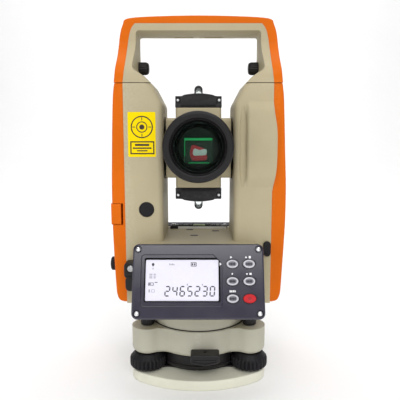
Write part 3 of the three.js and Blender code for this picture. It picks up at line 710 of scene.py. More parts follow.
def foot_screws():
    r, bottom, skirt, top = 16.8, 11.4, 21.4, 25.6
    for k, s in enumerate(SCREWS, 1):
        node = f"foot_screw_{k}"
        low, high = span(node)
        at = (s.x, s.y, 0)
        grip = fluted(f"levelling_knob_{k}", [(4.2, bottom, 0), (r - 2.4, bottom, 0.5),
            (r - 1.0, bottom + 0.5, 1.0), (r - 0.3, bottom + 1.2, 1.3), (r, bottom + 2.0, 1.3),
            (r, skirt - 2.4, 1.3), (r - 0.2, skirt - 1.4, 1.2), (r - 0.8, skirt - 0.6, 0.8),
            (r - 1.6, skirt, 0.2), (12.5, top - 0.6, 0), (11.8, top, 0), (8.4, top, 0), (8.0, top - 0.7, 0),
            (6.4, top - 0.7, 0), (5.9, top - 0.1, 0), (4.2, top - 0.1, 0)], 26, "Z", at, 2, 10)
        piece(grip, node, RUBBER, [node], sharp=50)
        stem = [(0, low.z), (2.2, low.z), (3.9, low.z + 1.6), (3.9, bottom + 0.3), (4.9, bottom + 0.3),
            (4.9, top + 0.4)]
        z = top + 1.0
        while z < high.z - 2:
            stem += [(4.35, z), (4.95, z + 0.6)]
            z += 1.2
        stem += [(4.2, high.z), (0, high.z)]
        piece(lathe(f"levelling_stem_{k}", stem, "Z", at, 40), node, STEEL)

        node = f"foot_screw_cap_{k}"
        low, high = span(node)
        cap = fluted(f"stem_cap_{k}", [(0.01, low.z, 0), (5.4, low.z, 0), (6.3, low.z + 0.5, 0.3),
            (6.3, high.z - 1.8, 0.3), (6.0, high.z - 0.8, 0), (5.2, high.z - 0.15, 0), (4.2, high.z, 0),
            (2.4, high.z, 0), (2.1, high.z - 0.8, 0), (0.01, high.z - 0.8, 0)], 18, "Z", at, 2, 6)
        piece(cap, "tribrach", BLACK, [node], sharp=45)


def circular_level():
    low, high = span("circular_level")
    x, y, _ = (low + high) / 2
    r = (high.x - low.x) / 2
    top = high.z

    def turned(name, profile, steps, material, replaces=(), at=(x, y, 0)):
        piece(lathe(name, profile, "Z", at, steps), "tribrach", material, replaces)

    turned("round_level_case", [(0, low.z), (r - 0.5, low.z), (r, low.z + 0.6), (r, top - 1.2),
        (r - 0.4, top - 0.4), (r - 1.2, top), (r - 2.2, top), (r - 2.6, top - 0.5), (r - 2.6, top - 2.6),
        (0, top - 2.6)], 56, BLACK, ["circular_level"])
    turned("round_level_spirit", [(0, top - 2.6), (r - 2.7, top - 2.6), (r - 2.7, top - 1.4),
        (0, top - 1.1)], 48, VIAL)
    turned("round_level_window", [(0, top - 1.05), (r - 2.7, top - 1.3), (r - 2.7, top - 0.7),
        (r * 0.35, top - 0.25), (0, top - 0.2)], 48, CLEAR)
    turned("round_level_bubble", [(0, top - 1.9), (1.3, top - 1.75), (1.75, top - 1.5), (1.3, top - 1.25),
        (0, top - 1.15)], 32, WHITE, at=(x + 0.3, y - 0.2, 0))
    piece(tube("round_level_mark", 2.3, 2.6, top - 2.62, top - 2.5, "Z", (x, y, 0), 40), "tribrach", LEGEND)


base_plate()
spring_plate()
tribrach_hub()
tribrach_body()
lock_parts()
foot_screws()
circular_level()

# ---- fixed base of the instrument


def centring_base():
    low, high = span("centring_base")
    bottom, top, r = BODY_HIGH.z + GAP, high.z, DRUM_RADIUS
    profile = [(12, bottom), (r - 1.0, bottom), (r - 0.4, bottom + 0.5), (r - 0.4, bottom + 1.4),
        (r, bottom + 1.8), (r, top - 1.6), (r - 0.5, top - 0.6), (r - 1.6, top), (42.4, top),
        (42.4, bottom + 4), (14, bottom + 4), (14, top), (8.3, top), (8.3, bottom)]
    drum = lathe("centring_drum", profile, steps=128)
    piece(drum, "instrument_base", TRIBRACH_PAINT, ["centring_base"])
    profile = [(0, low.z), (3.6, low.z), (4.9, low.z + 1.6), (4.9, low.z + 4.0), (3.9, low.z + 4.6),
        (3.9, low.z + 7.2), (4.9, low.z + 7.8), (4.9, bottom + 0.3), (0, bottom + 0.3)]
    for k, place in enumerate(three_places(PEG_CIRCLE), 1):
        piece(lathe(f"centring_peg_{k}", profile, "Z", place, 32), "instrument_base", STEEL)


centring_base()

# ---- alidade

YOKE_TOP = YOKE_HIGH.z
YOKE_OUTER = YOKE_HIGH.x
YOKE_BOTTOM = 74
YOKE_INNER = 31.3
YOKE_DEPTH = 35.5
PLATFORM_Z = 131
SHOULDER = (40.6, 252)
LATCH_TRAVEL = 1.5


def standard(side):
    """One upright of the yoke, rounded everywhere but where it is trimmed."""
    past = 10
    slope = (YOKE_TOP - SHOULDER[1]) / (SHOULDER[0] - YOKE_INNER)
    points = [(YOKE_INNER - past, YOKE_BOTTOM - past), (YOKE_OUTER + past, YOKE_BOTTOM - past),
        (YOKE_OUTER + past, YOKE_TOP + past), (SHOULDER[0] + past / slope, YOKE_TOP + past),
        (YOKE_INNER, SHOULDER[1], 12), (YOKE_INNER, PLATFORM_Z - 4), (YOKE_INNER - past, PLATFORM_Z - 4)]
    outline = fillet([(side * p[0], *p[1:]) for p in points], 10)
    upright = prism("upright", outline, -YOKE_DEPTH, YOKE_DEPTH, "Y")
    bevel(upright, 6, 8, 30)
    return keep_inside(upright, block("tool", (-YOKE_OUTER, -90, YOKE_BOTTOM), (YOKE_OUTER, 90, YOKE_TOP)))


def ease(share):
    share = min(1, max(0, share))
    return share * share * (3 - 2 * share)


def swelling(sign):
    """The soft swelling over the vertical circle, on the front or the back of the right standard."""
    columns, rows = 28, 44
    x0, z0, z1 = 40.4, 177, 256
    straight_edge, edge_bulge, bulge_reach = 64.9, 3.6, 29
    height, sunk, root = 2.8, 0.25, 31
    verts = []
    for i in range(rows + 1):
        z = z0 + (z1 - z0) * i / rows
        edge = straight_edge + edge_bulge * math.exp(-(((z - AXIS_Z) / bulge_reach) ** 4))
        for j in range(columns + 1):
            x = x0 + (edge - x0) * j / columns
            rise = ease((x - x0) / 3.6) * ease((z - z0) / 12) * ease((z1 - z) / 10)
            verts.append((x, sign * (YOKE_DEPTH - sunk + (height + sunk) * rise), z))
    count = len(verts)
    verts += [(x, sign * root, z) for x, _, z in verts]
    width = columns + 1
    faces = []
    for i in range(rows):
        for j in range(columns):
            a = i * width + j
            for first in (a, count + a):
                faces.append([first, first + 1, first + 1 + width, first + width])
    rim = list(range(width)) + [i * width + columns for i in range(1, rows + 1)]
    rim += [rows * width + j for j in range(columns - 1, -1, -1)]
    rim += [i * width for i in range(rows - 1, 0, -1)]
    for a, b in zip(rim, rim[1:] + rim[:1]):
        faces.append([a, b, count + b, count + a])
    return build("swelling", verts, faces)


def yoke():
    outline = symmetric([(58, 70.5), (66.8, 73.6), (45, 129.6), (36, PLATFORM_Z)])
    housing = prism("housing", outline, -52, 52, "X")
    bevel(housing, 2.5, 4, 40)
    low, r = YOKE_LOW.z, DRUM_RADIUS
    skirt = lathe("skirt", [(0, low), (r - 1, low), (r - 0.4, low + 0.5), (r - 0.4, low + 1.6),
        (r, low + 2), (r, 76), (0, 76)], steps=128)
    body = fuse(standard(-1), housing, standard(1), skirt, swelling(1), swelling(-1))
    axis = (0, 0, AXIS_Z)
    groove = [(0, 174), (1.6, 180), (2.7, 187), (3.4, 196), (3.4, 204), (2.8, 214), (3.4, 224), (3.4, 233),
        (2.7, 243), (1.6, 250), (0, 256)]
    tools = []
    for side in (-1, 1):
        x0, x1 = sorted((side * 36.5, side * OUTSIDE))
        pocket = block("tool", (x0, -30, 80), (x1, 30, 262))
        tools += [cut(pocket, rod("tool", 14, -45, 45, "X", axis, 48)),
            tube("tool", 24.5, 29, side * 30, side * 32, "X", axis, 72),
            lathe("tool", groove, "Z", (39.0, side * (YOKE_DEPTH + 1.2), 0), 48)]
    tools += [rod("tool", 8.3, -80, 80, "X", axis, 48), rod("tool", 8.1, 0, 105),
        plate("tool", -29.4, 29.4, 24, 34.2, 2, 127, 150, "Z"), rod("tool", 4.3, 20, 60, "Y", CLAMP, 32),
        rod("tool", 6.9, -YOKE_DEPTH - 5, -YOKE_DEPTH + 0.9, "Y", PLUG, 56)]
    cut(body, *tools)
    piece(body, "alidade", BEIGE_PAINT, ["alidade_frame"], sharp=38)
    face = -YOKE_DEPTH
    plug = lathe("blanking_plug", [(0, face + 0.8), (6.6, face + 0.8), (6.6, face - 0.1), (6.0, face - 0.5),
        (5.2, face - 0.6), (0, face - 0.35)], "Y", PLUG, 56)
    piece(plug, "alidade", RUBBER, slot="black_plastic")


def label():
    """A plain yellow sticker with a generic target mark and a framed box of bars."""
    front = -YOKE_DEPTH
    sheet = plate("label_sheet", -61.2, -37.1, 206.6, 245.3, 1.0, front - 0.12, front + 0.05, steps=4)
    piece(sheet, "alidade", LABEL)
    cx, cz = -49.0, 232.4

    def ink(outer, inner=None):
        strip = prism("ink", outer, front - 0.18, front - 0.1)
        return cut(strip, prism("tool", inner, front - 1, front + 1)) if inner else strip

    marks = []
    for r, inner in ((9.6, 8.6), (4.8, 4.0)):
        marks.append(ink(oval(cx, cz, r, r, 56), oval(cx, cz, inner, inner, 56)))
    marks.append(ink(oval(cx, cz, 2.2, 2.2, 32)))
    for a in (0, 90, 180, 270):
        u, v = polar(7.0, a)
        w, h = (1.3, 0.35) if a % 180 == 0 else (0.35, 1.3)
        marks.append(ink(rounded_box(cx + u - w, cx + u + w, cz + v - h, cz + v + h, 0.2, 2)))
    marks.append(ink(rounded_box(-59.3, -38.3, 208.9, 220.2, 0.3, 2),
        rounded_box(-58.2, -39.4, 210.0, 219.1, 0.2, 2)))
    for z, half, thick in ((217.0, 6.2, 0.9), (214.2, 8.2, 0.6), (211.9, 4.6, 0.5)):
        marks.append(ink(rounded_box(cx - half, cx + half, z - thick, z + thick, 0.2, 2)))
    piece(gather("label_marks", marks), "alidade", LABEL_INK)


def platform_marks():
    bars = []
    for x0, x1, y in ((-12.3, -5.7, 18.6), (13.2, 20.2, 12.5), (-7.8, -0.7, -9.3)):
        mark = plate("mark", x0, x1, y - 2, y + 2, 1, PLATFORM_Z - 0.5, PLATFORM_Z + 0.35, "Z", 4)
        bars.append(bevel(mark, 0.2, 2, 40))
    piece(gather("platform_marks", bars), "alidade", PLATFORM)


yoke()
label()
platform_marks()

COVER_CURVE = [(67, 74.2), (71.8, 75.8), (74.1, 80.5), (75, 88), (76, 112), (76.7, 134), (77, 156),
    (76.9, 182), (76.2, 206), (75.4, 232), (74.2, 258), (72.8, 269.6), (70.6, 285)]
COVER_INNER = YOKE_OUTER + GAP


def cover_edge(side, out=0.0):
    """The outer line of a side cover; the right one bulges a little about its middle."""
    swell = 0.9 if side > 0 else 0
    return [(x + out + swell * math.exp(-(((z - 165) / 45) ** 2)), z) for x, z in COVER_CURVE]


def cover_x(side, z):
    """How far out the face of a side cover is at a height."""
    edge = cover_edge(side)
    for (x0, z0), (x1, z1) in zip(edge, edge[1:]):
        if z0 <= z <= z1:
            return x0 + (x1 - x0) * (z - z0) / (z1 - z0)


def cover_slab(name, side, out=0.0, depth=33.5):
    outline = smooth(cover_edge(side, out), 6) + [(50, 285), (50, 74.2)]
    return prism(name, [(side * x, z) for x, z in outline], -depth, depth, "Y")


def cover_blank(name, side):
    slab = bevel(cover_slab(name, side), 5, 7, 50)
    x0, x1 = sorted((side * COVER_INNER, side * OUTSIDE))
    return keep_inside(slab, block("tool", (x0, -60, 60), (x1, 60, YOKE_TOP)))


def skin_groove(side, outer, inner, depth=0.4):
    """A tool that cuts a groove of even depth, between two outlines, into a side cover."""
    x0, x1 = sorted((side * 70, side * OUTSIDE))
    ring = cut(prism("tool", outer, x0, x1, "X"), prism("tool", inner, x0 - 1, x1 + 1, "X"))
    return cut(ring, cover_slab("tool", side, -depth, 60))


def cover_screws(name, side, places):
    for k, (y, z) in enumerate(places, 1):
        at = (side * (cover_x(side, z) - 0.1), y, z)
        piece(screw_head(f"{name}_screw_{k}", 2.0, 0.5, "X", at, side), "alidade", STEEL)


def left_cover():
    low, high = span("battery_pack")
    latch_low, latch_high = span("battery_latch")
    clamp = pivot("horizontal_clamp_turn")
    tangent = pivot("horizontal_tangent_turn")
    cover = cover_blank("left_cover", -1)
    window = plate("tool", low.y - GAP, high.y + GAP, low.z - GAP, high.z + GAP, 3, -OUTSIDE, -50, "X")
    slot = plate("tool", latch_low.y - 3, latch_high.y + GAP, latch_low.z - GAP, latch_high.z + GAP, 2.2,
        -OUTSIDE, latch_high.x + LATCH_TRAVEL + GAP, "X")
    hole = rod("tool", 3.3, -OUTSIDE, -60, "X", (0, clamp.y, clamp.z), 32)
    dish = rod("tool", 7.6, -OUTSIDE, -75.4, "X", (0, clamp.y, clamp.z), 48)
    cut(cover, window, slot, hole, dish, rod("tool", 3.8, 0, 60, "Y", (tangent.x, 0, tangent.z), 32))
    piece(cover, "alidade", ORANGE, ["left_side_cover"], sharp=40)
    cover_screws("left_cover", -1, ((-21, 88), (21, 88), (-21, 132), (21, 132)))


def battery():
    low, high = span("battery_pack")
    pack = cover_slab("battery_shell", -1, 0.35)
    keep_inside(pack, plate("tool", low.y, high.y, low.z, high.z, 2.6, -OUTSIDE, high.x, "X"))
    bevel(pack, 0.8, 3, 40)
    grooves = []
    for k in range(5):
        z = high.z - 10 - 3.4 * k
        floor = 0.3 - cover_x(-1, z)
        grooves.append(plate("tool", -15, 15, z - 0.8, z + 0.8, 0.7, -OUTSIDE, floor, "X", 4))
    outer = rounded_box(-19, 19, low.z + 12, high.z - 32, 3)
    inner = rounded_box(-18.4, 18.4, low.z + 12.6, high.z - 32.6, 2.5)
    cut(pack, *grooves, skin_groove(-1, outer, inner, 0.1))
    piece(pack, "battery_pack", ORANGE, ["battery_pack"], sharp=40)

    low, high = span("battery_latch")
    button = bevel(cover_slab("latch_button", -1, 0.9, -low.y), 3.5, 5, 50)
    keep_inside(button, plate("tool", low.y, high.y, low.z, high.z, 2.0, -OUTSIDE, high.x, "X"))
    ribs = []
    for k in range(4):
        z = low.z + 4.6 + 3.2 * k
        ribs.append(block("tool", (-OUTSIDE, low.y + 2.4, z - 0.6),
            (-cover_x(-1, z) - 0.3, high.y - 1.6, z + 0.6)))
    cut(button, *ribs)
    piece(button, "battery_latch", ORANGE, ["battery_latch"], sharp=40)


def right_cover():
    cover = cover_blank("right_cover", 1)
    panel = skin_groove(1, rounded_box(-26.4, 26.4, 92, 240, 6), rounded_box(-25.8, 25.8, 92.6, 239.4, 5.5))
    circle = skin_groove(1, oval(0, AXIS_Z, 17, 17, 72), oval(0, AXIS_Z, 16.3, 16.3, 72))
    cut(cover, panel, circle)
    piece(cover, "alidade", ORANGE, ["right_side_cover"], sharp=40)
    cover_screws("right_cover", 1, ((-21, 100), (21, 100), (-21, 232), (21, 232), (0, AXIS_Z)))


left_cover()
battery()
right_cover()

# ---- display panels

PANEL_SLOPE = 21.4
PANEL_CENTRE = (0, -64.2, 103.5)


class PanelFrame:
    """A display panel's own flat frame: u across, v up the slope and w out of the panel."""

    def __init__(self, name, turn):
        self.name = name
        tilt = math.radians(90 - PANEL_SLOPE)
        centre = Matrix.Translation(Vector(PANEL_CENTRE) * MM)
        self.matrix = Matrix.Rotation(math.radians(turn), 4, "Z") @ centre @ Matrix.Rotation(tilt, 4, "X")

    def add(self, obj, body, material, *rest, **more):
        return piece(move(obj, self.matrix), body, material, *rest, **more)


SEGMENTS = {
    "a": ((-1, 2), (1, 2)), "b": ((1, 2), (1, 0)), "c": ((1, 0), (1, -2)), "d": ((-1, -2), (1, -2)),
    "e": ((-1, 0), (-1, -2)), "f": ((-1, 2), (-1, 0)), "g": ((-1, 0), (1, 0)),
}
DIGITS = {
    0: "abcdef", 1: "bc", 2: "abged", 3: "abgcd", 4: "fgbc", 5: "afgcd", 6: "afgedc", 7: "abc",
    8: "abcdefg", 9: "abcdfg",
}


def bar(u0, v0, u1, v1, half, low, high, shorten=0.0):
    """A bar with pointed ends between two places."""
    start = Vector((u0, v0))
    end = Vector((u1, v1))
    along = (end - start).normalized()
    across = Vector((-along.y, along.x))
    start += along * shorten
    end -= along * shorten
    points = [start, start + (along + across) * half, end + (across - along) * half, end,
        end - (across + along) * half, start + (along - across) * half]
    return prism("bar", [tuple(p) for p in points], low, high, "Z")


def digit(value, u, v, width, height, half, low):
    bars = []
    slant = 0.08
    for name in DIGITS[value]:
        (a0, b0), (a1, b1) = SEGMENTS[name]
        ends = []
        for a, b in ((a0, b0), (a1, b1)):
            y = b * height / 4
            ends += [u + a * width / 2 + slant * y, v + y]
        bars.append(bar(*ends, half, low, low + 0.08, 0.25))
    return bars


def flat_mark(outline, low, thick=0.08):
    return prism("mark", outline, low, low + thick, "Z")


def box_mark(u0, u1, v0, v1, low, radius=0.2):
    return flat_mark(rounded_box(u0, u1, v0, v1, radius, 2), low)


def hollow_mark(u0, u1, v0, v1, wall, low):
    outer = box_mark(u0, u1, v0, v1, low, 0.4)
    inner = plate("tool", u0 + wall, u1 - wall, v0 + wall, v1 - wall, 0.2, low - 1, low + 1, "Z", 2)
    return cut(outer, inner)


def triangle_mark(u, v, size, turn, low):
    points = [polar(size, turn + 120 * k) for k in range(3)]
    return flat_mark([(u + a, v + b) for a, b in points], low)


KEY_COLUMNS = (28.9, 43.1)
KEY_ROWS = (14.4, -0.2, -14.6)
RED_KEY = 6
SCREEN_BOX = (-44.9, 17.3, -16.6, 18.2)
PANEL_SCREWS = ((-51.5, -27), (51.5, -27), (-51.5, 27), (51.5, 27))


def display(panel, front):
    """The liquid crystal display: its glass, dark segments and plain icons."""
    face = -1.5
    low = face + 0.01
    sheet = plate(f"{panel.name}_screen", *SCREEN_BOX, 0.6, face - 2, face, "Z", 3)
    panel.add(sheet, "alidade", SCREEN, [f"{panel.name}_display"])

    first, pitch, base = -26.1, 6.33, -8.4
    dark = []
    for k, value in enumerate((2, 4, 6, 5, 2, 3, 0) if front else (0, 9, 0, 1, 4, 0, 5)):
        dark += digit(value, first + pitch * k, base, 3.6, 7.8, 0.5, low)
    for k in (2, 4):
        u = first + pitch * (k + 0.62)
        dark.append(box_mark(u, u + 0.45, -3.6, -2.3, low, 0.1))
    dark += [flat_mark(oval(-38.6, 14.2, 1.15, 1.15, 20), low), triangle_mark(-38.6, 13.4, 1.3, 270, low)]
    dark.append(hollow_mark(-6.4, -1.5, 12.4, 15.9, 0.45, low))
    dark.append(hollow_mark(-42.4, -37.8, -3.6, -1.2, 0.4, low))
    for box in ((-5.6, -4.4, 13.3, 15.0), (-3.7, -2.5, 13.3, 15.0), (-41.7, -40.3, -2.9, -1.9),
            (-36.9, -34.6, -1.3, -0.7)):
        dark.append(box_mark(*box, low, 0.1))
    panel.add(gather(f"{panel.name}_segments", dark), "alidade", SEGMENT)

    faint = [box_mark(-39.0, -38.2, 9.8, 11.4, low), hollow_mark(-39.6, -36.8, -9.4, -6.9, 0.35, low)]
    boxes = [(-24.8 + 1.2 * k, -24.0 + 1.2 * k, 13.4, 14.9 - 0.3 * (k % 2)) for k in range(4)]
    for row in range(3):
        foot = 2.4 + 1.5 * row
        boxes += [(-41.6, -39.0, foot, foot + 0.8), (-38.0, -36.2, foot, foot + 0.8)]
    boxes.append((-42.0, -40.8, -9.4, -6.9))
    faint += [box_mark(*box, low, 0.1) for box in boxes]
    panel.add(gather(f"{panel.name}_faint_icons", faint), "alidade", SEGMENT_FAINT)


def panel_plate(panel):
    """The dark panel: rounded, stepped round the display, with a moat round every key."""
    w, h, thick, corner = 56.0, 31.7, 8.0, 5.2
    slab = plate(f"{panel.name}_panel_plate", -w, w, -h, h, corner, -thick, 0, "Z", 10)
    bevel(slab, 1.6, 5, 40)
    u0, u1, v0, v1 = SCREEN_BOX
    step = prism("tool", fillet([(-48.8, -21.4, 3), (20.4, -21.4, 3), (20.4, 15.0, 9), (12.8, 22.6, 3),
        (-48.8, 22.6, 3)], 8), -1.0, 3, "Z")
    tools = [bevel(step, 0.6, 3, 40), plate("tool", *SCREEN_BOX, 0.8, -3.3, 3, "Z", 4)]
    for u, v in PANEL_SCREWS:
        tools.append(lathe("tool", [(0, -2.2), (2.7, -2.2), (2.9, -0.35), (3.4, 0.15), (3.4, 3), (0, 3)],
            "Z", (u, v, 0), 40))
    for v in KEY_ROWS:
        for u in KEY_COLUMNS:
            tools += [prism("tool", oval(u, v, 6.6, 4.9, 48), -0.45, 3, "Z"),
                prism("tool", oval(u, v, 5.75, 4.05, 48), -5.2, 3, "Z")]
    cut(slab, *tools)
    panel.add(slab, "alidade", PANEL, [f"{panel.name}_panel"], sharp=40)
    # A black gasket round the display; its extra width at the top and right is painted shadow from the
    # recess wall.
    window = plate(f"{panel.name}_window_frame", u0 - 0.9, u1 + 1.3, v0 - 0.9, v1 + 1.5, 1.6, -1.4, -0.92,
        "Z", 4)
    cut(window, plate("tool", u0 + 0.1, u1 - 0.1, v0 + 0.1, v1 - 0.1, 0.9, -4, 3, "Z", 4))
    panel.add(window, "alidade", MATT_BLACK, slot="panel_plastic")
    for k, (u, v) in enumerate(PANEL_SCREWS, 1):
        head = lathe(f"{panel.name}_panel_screw_{k}",
            [(0, -2.2), (2.15, -2.2), (2.15, -0.9), (1.9, -0.25), (1.3, 0.2), (0.5, 0.4), (0, 0.42)], "Z",
            (u, v, 0), 36)
        panel.add(head, "alidade", CHROME)


def legend_bars(u, v, low, seed):
    """Plain bars in a small block, standing in for a key's legend."""
    rng = random.Random(seed)
    marks = []
    for k in range(4):
        x = u - 2.5 + 1.3 * k
        top = v + 1.25 - 0.4 * rng.random()
        marks.append(flat_mark(rounded_box(x, x + 0.95, v - 1.25, top, 0.12, 2), low, 0.1))
    marks.append(flat_mark(rounded_box(u - 2.6, u + 2.5, v - 0.3, v + 0.2, 0.1, 2), low, 0.1))
    return marks


def key(panel, number, u, v):
    """A key cap with a dished top and its legend; the last key is larger and red."""
    node = f"{panel.name}_key_{number}"
    red = number == RED_KEY
    a, b = (5.45, 3.75) if red else (4.95, 3.5)
    cap = prism(f"{panel.name}_key_cap_{number}", oval(u, v, a, b, 56), -4, 1.1, "Z")
    bevel(cap, 0.75, 5, 40)
    if red:
        dish = lathe("tool", [(0, 0.75), (2.2, 0.95), (3.4, 1.3), (3.4, 3), (0, 3)], "Z", (u, v, 0), 48)
    else:
        dish = prism("tool", oval(u, v, a - 1.35, b - 1.25, 48), 0.8, 3, "Z")
    cut(cap, dish)
    panel.add(cap, node, KEY_RED if red else KEY_GREY, [node], sharp=40)
    if red:
        ring = prism("mark", oval(u, v, 1.25, 1.0, 24), 0.7, 0.86, "Z")
        cut(ring, prism("tool", oval(u, v, 0.85, 0.6, 24), 0, 3, "Z"))
        panel.add(ring, node, KEY_DARK, slot="key_red")
    else:
        well = prism(f"{panel.name}_key_well_{number}", oval(u, v, a - 1.3, b - 1.2, 48), 0.7, 0.82, "Z")
        panel.add(well, node, KEY_WELL)
        legend = gather(f"{panel.name}_key_legend_{number}", legend_bars(u, v, 0.8, 10 * number))
        panel.add(legend, node, KEY_DARK)


def keys(panel):
    places = [(u, v) for v in KEY_ROWS for u in KEY_COLUMNS]
    for number, (u, v) in enumerate(places, 1):
        key(panel, number, u, v)
    low = -0.02
    white = [flat_mark([(28.8, 6.9), (29.6, 6.0), (28.8, 5.1), (28.0, 6.0)], low)]
    for u, v, size, turn in ((27.8, 20.1, 1.3, 0), (40.7, 20.0, 1.1, 90), (41.2, 5.9, 1.1, 270)):
        white.append(triangle_mark(u, v, size, turn, low))
    for box in ((43.0, 44.8, 19.1, 21.2), (43.3, 45.2, 5.2, 6.9)):
        white.append(box_mark(*box, low))
    white += [box_mark(26.3 + 1.35 * k, 27.3 + 1.35 * k, -9.4, -7.7, low, 0.1) for k in range(4)]
    panel.add(gather(f"{panel.name}_marks", white), "alidade", LEGEND)
    light = [triangle_mark(18.9, 14.4, 1.6, 0, -0.95)]
    panel.add(gather(f"{panel.name}_light_mark", light), "alidade", LEGEND)


for panel_name, turn in (("front", 0), ("rear", 180)):
    panel_frame = PanelFrame(panel_name, turn)
    panel_plate(panel_frame)
    display(panel_frame, panel_name == "front")
    keys(panel_frame)

# ---- levels, knobs and caps on the alidade


def plate_level():
    low, high = span("plate_level_case")
    vial_y, vial_z = 28, 132.4
    centre = (0, vial_y, vial_z)
    case = plate("plate_level_housing", low.y, high.y, low.z, high.z, 1.2, low.x, high.x, "X", 4)
    bevel(case, 0.5, 2, 50)
    cut(case, rod("tool", 2.95, -23, 23, "X", centre, 32),
        plate("tool", -22.4, 22.4, 25.3, 30.7, 1.6, vial_z, 140, "Z"))
    piece(case, "alidade", BLACK, ["plate_level_case"])
    vial = lathe("plate_level_tube", [(0, -22.6), (1.6, -22.6), (2.3, -22.0), (2.6, -21.2), (2.6, 21.2),
        (2.3, 22.0), (1.6, 22.6), (0, 22.6)], "X", centre, 40)
    piece(vial, "alidade", VIAL, ["plate_level_vial"])
    bubble = lathe("plate_level_bubble", [(0, -6.2), (0.9, -5.8), (1.35, -4.6), (1.5, 0), (1.35, 4.6),
        (0.9, 5.8), (0, 6.2)], "X", (0.4, vial_y, vial_z + 0.8), 28)
    piece(bubble, "alidade", WHITE)
    lines = []
    for x in (-12.5, -10, -7.5, 7.5, 10, 12.5):
        lines.append(tube("line", 2.62, 2.72, x - 0.16, x + 0.16, "X", centre, 32))
    piece(gather("plate_level_lines", lines), "alidade", SEGMENT)
    # A white strip on the front of the case: a painted reflection of the vial.
    strip = plate("plate_level_front", -21.0, 28.2, 128.5, high.z - 0.9, 0.5, low.y - 0.4, low.y + 0.2)
    piece(bevel(strip, 0.15, 2, 40), "alidade", WHITE, slot="ivory_paint")
    for name, x, r in (("adjuster", -25.2, 2.4), ("pivot", 26.4, 1.7)):
        head = screw_head(f"plate_level_{name}", r, 1.4, "Z", (x, 28.6, high.z - 0.2), 1, False)
        piece(head, "alidade", STEEL)


def tangent_knob(name, radius, front, back, place, count, shaft, shaft_front):
    """A knob with finger flutes and a dished end, on a shaft that runs towards the front."""
    node = f"{name}_tangent_knob"
    profile = [(0.01, shaft_front, 0), (shaft, shaft_front, 0), (shaft, front, 0),
        (radius - 1.6, front, 0.3), (radius - 0.5, front + 0.5, 0.8), (radius, front + 1.3, 1.0),
        (radius, back - 3.2, 1.0), (radius - 0.3, back - 1.6, 0.8), (radius - 1.2, back - 0.5, 0.3),
        (radius - 2.4, back, 0), (radius - 4.2, back, 0), (radius - 4.8, back - 0.8, 0),
        (0.01, back - 1.1, 0)]
    knob = fluted(f"{name}_tangent_grip", profile, count, "Y", place, 2, 10)
    piece(knob, node, RUBBER, [node], sharp=50)
    r = radius - 5.3
    cap = lathe(f"{name}_tangent_cap", [(0, back - 1.4), (r, back - 1.4), (r, back - 0.6),
        (r - 0.8, back - 0.2), (0, back - 0.1)], "Y", place, 48)
    piece(cap, node, STEEL)


def alidade_knobs():
    low, high = span("vertical_clamp_ring")
    tail = [(-4.6, -15.5), (-3.4, -18.2), (3.4, -18.2), (4.6, -15.5)]
    outline = arc((0, 0), 14.5, -68, 248, 60) + tail
    ring = prism("vertical_clamp_lever", fillet([(a + CLAMP[0], b + CLAMP[2]) for a, b in outline], 1),
        low.y, high.y)
    bevel(ring, 1.0, 4, 40)
    cut(ring, rod("tool", 4.3, 20, 60, "Y", CLAMP, 32), tube("tool", 9.6, 13.0, 42.9, 50, "Y", CLAMP, 64))
    piece(ring, "vertical_clamp_ring", BLACK, ["vertical_clamp_ring"], sharp=40)
    tangent_knob("vertical", 11.5, 44.0, 58.0, CLAMP, 18, 4.0, 31.0)
    tangent = pivot("horizontal_tangent_turn")
    tangent_knob("horizontal", 9.5, 40.0, 58.0, (tangent.x, 0, tangent.z), 16, 3.5, 27.0)

    low, high = span("horizontal_clamp_knob")
    at = pivot("horizontal_clamp_turn")
    x = low.x
    profile = [(0.01, x, 0), (3.6, x, 0), (5.0, x + 0.2, 0.1), (6.0, x + 0.8, 0.45), (6.4, x + 1.5, 0.6),
        (6.4, x + 3.8, 0.6), (6.0, x + 4.6, 0.4), (5.2, x + 5.0, 0), (3.0, x + 5.0, 0), (3.0, high.x, 0),
        (0.01, high.x, 0)]
    knob = fluted("side_clamp_grip", profile, 14, "X", (0, at.y, at.z), 2, 10)
    piece(knob, "horizontal_clamp_knob", RUBBER, ["horizontal_clamp_knob"], sharp=50, slot="black_plastic")

    low, high = span("tangent_spring_case")
    back = high.y + 0.5
    upper = plate("spring_case_body", low.x, high.x, 100, high.z, 3.5, low.y, back, steps=8)
    lower = plate("lower", low.x + 0.7, high.x - 1.5, low.z, 101.5, 4, -45.5, back, steps=8)
    for part in (upper, lower):
        bevel(part, 1.2, 4, 40)
    fuse(upper, lower)
    x = (low.x + high.x) / 2
    cut(upper, rod("tool", 3.4, -60, low.y + 1, "Y", (x, 0, 109), 40),
        block("tool", (low.x - 4, low.y - 1, 101.9), (high.x + 4, low.y + 0.7, 102.6)))
    piece(upper, "alidade", BLACK, ["tangent_spring_case"], sharp=40)
    head = screw_head("spring_case_screw", 2.9, 1.0, "Y", (x, low.y + 1, 109), -1, False)
    piece(head, "alidade", STEEL)

    low, high = span("data_port_cap")
    cap = plate("port_cap", low.x, high.x, low.z, high.z, 3.3, low.y, high.y, steps=8)
    bevel(cap, 0.7, 3, 40)
    piece(cap, "data_port_cap", RUBBER, ["data_port_cap"])
    tab = plate("port_cap_tab", low.x + 1.6, high.x - 1.6, low.z + 1.6, low.z + 3.4, 0.8, low.y - 0.6,
        low.y + 0.4)
    piece(bevel(tab, 0.3, 2, 40), "data_port_cap", RUBBER)


plate_level()
alidade_knobs()

# ---- telescope, built about its turning axis

SIGHT_LINE = Matrix.Translation(Vector((0, 0, AXIS_Z)) * MM) @ Matrix.Rotation(-SIGHT_TILT, 4, "X")


def aim(obj, material, replaces=(), sharp=32, body="telescope"):
    """Tilts a piece built about the origin to the sight line, and shades it."""
    return piece(move(obj, SIGHT_LINE), body, material, replaces, sharp)


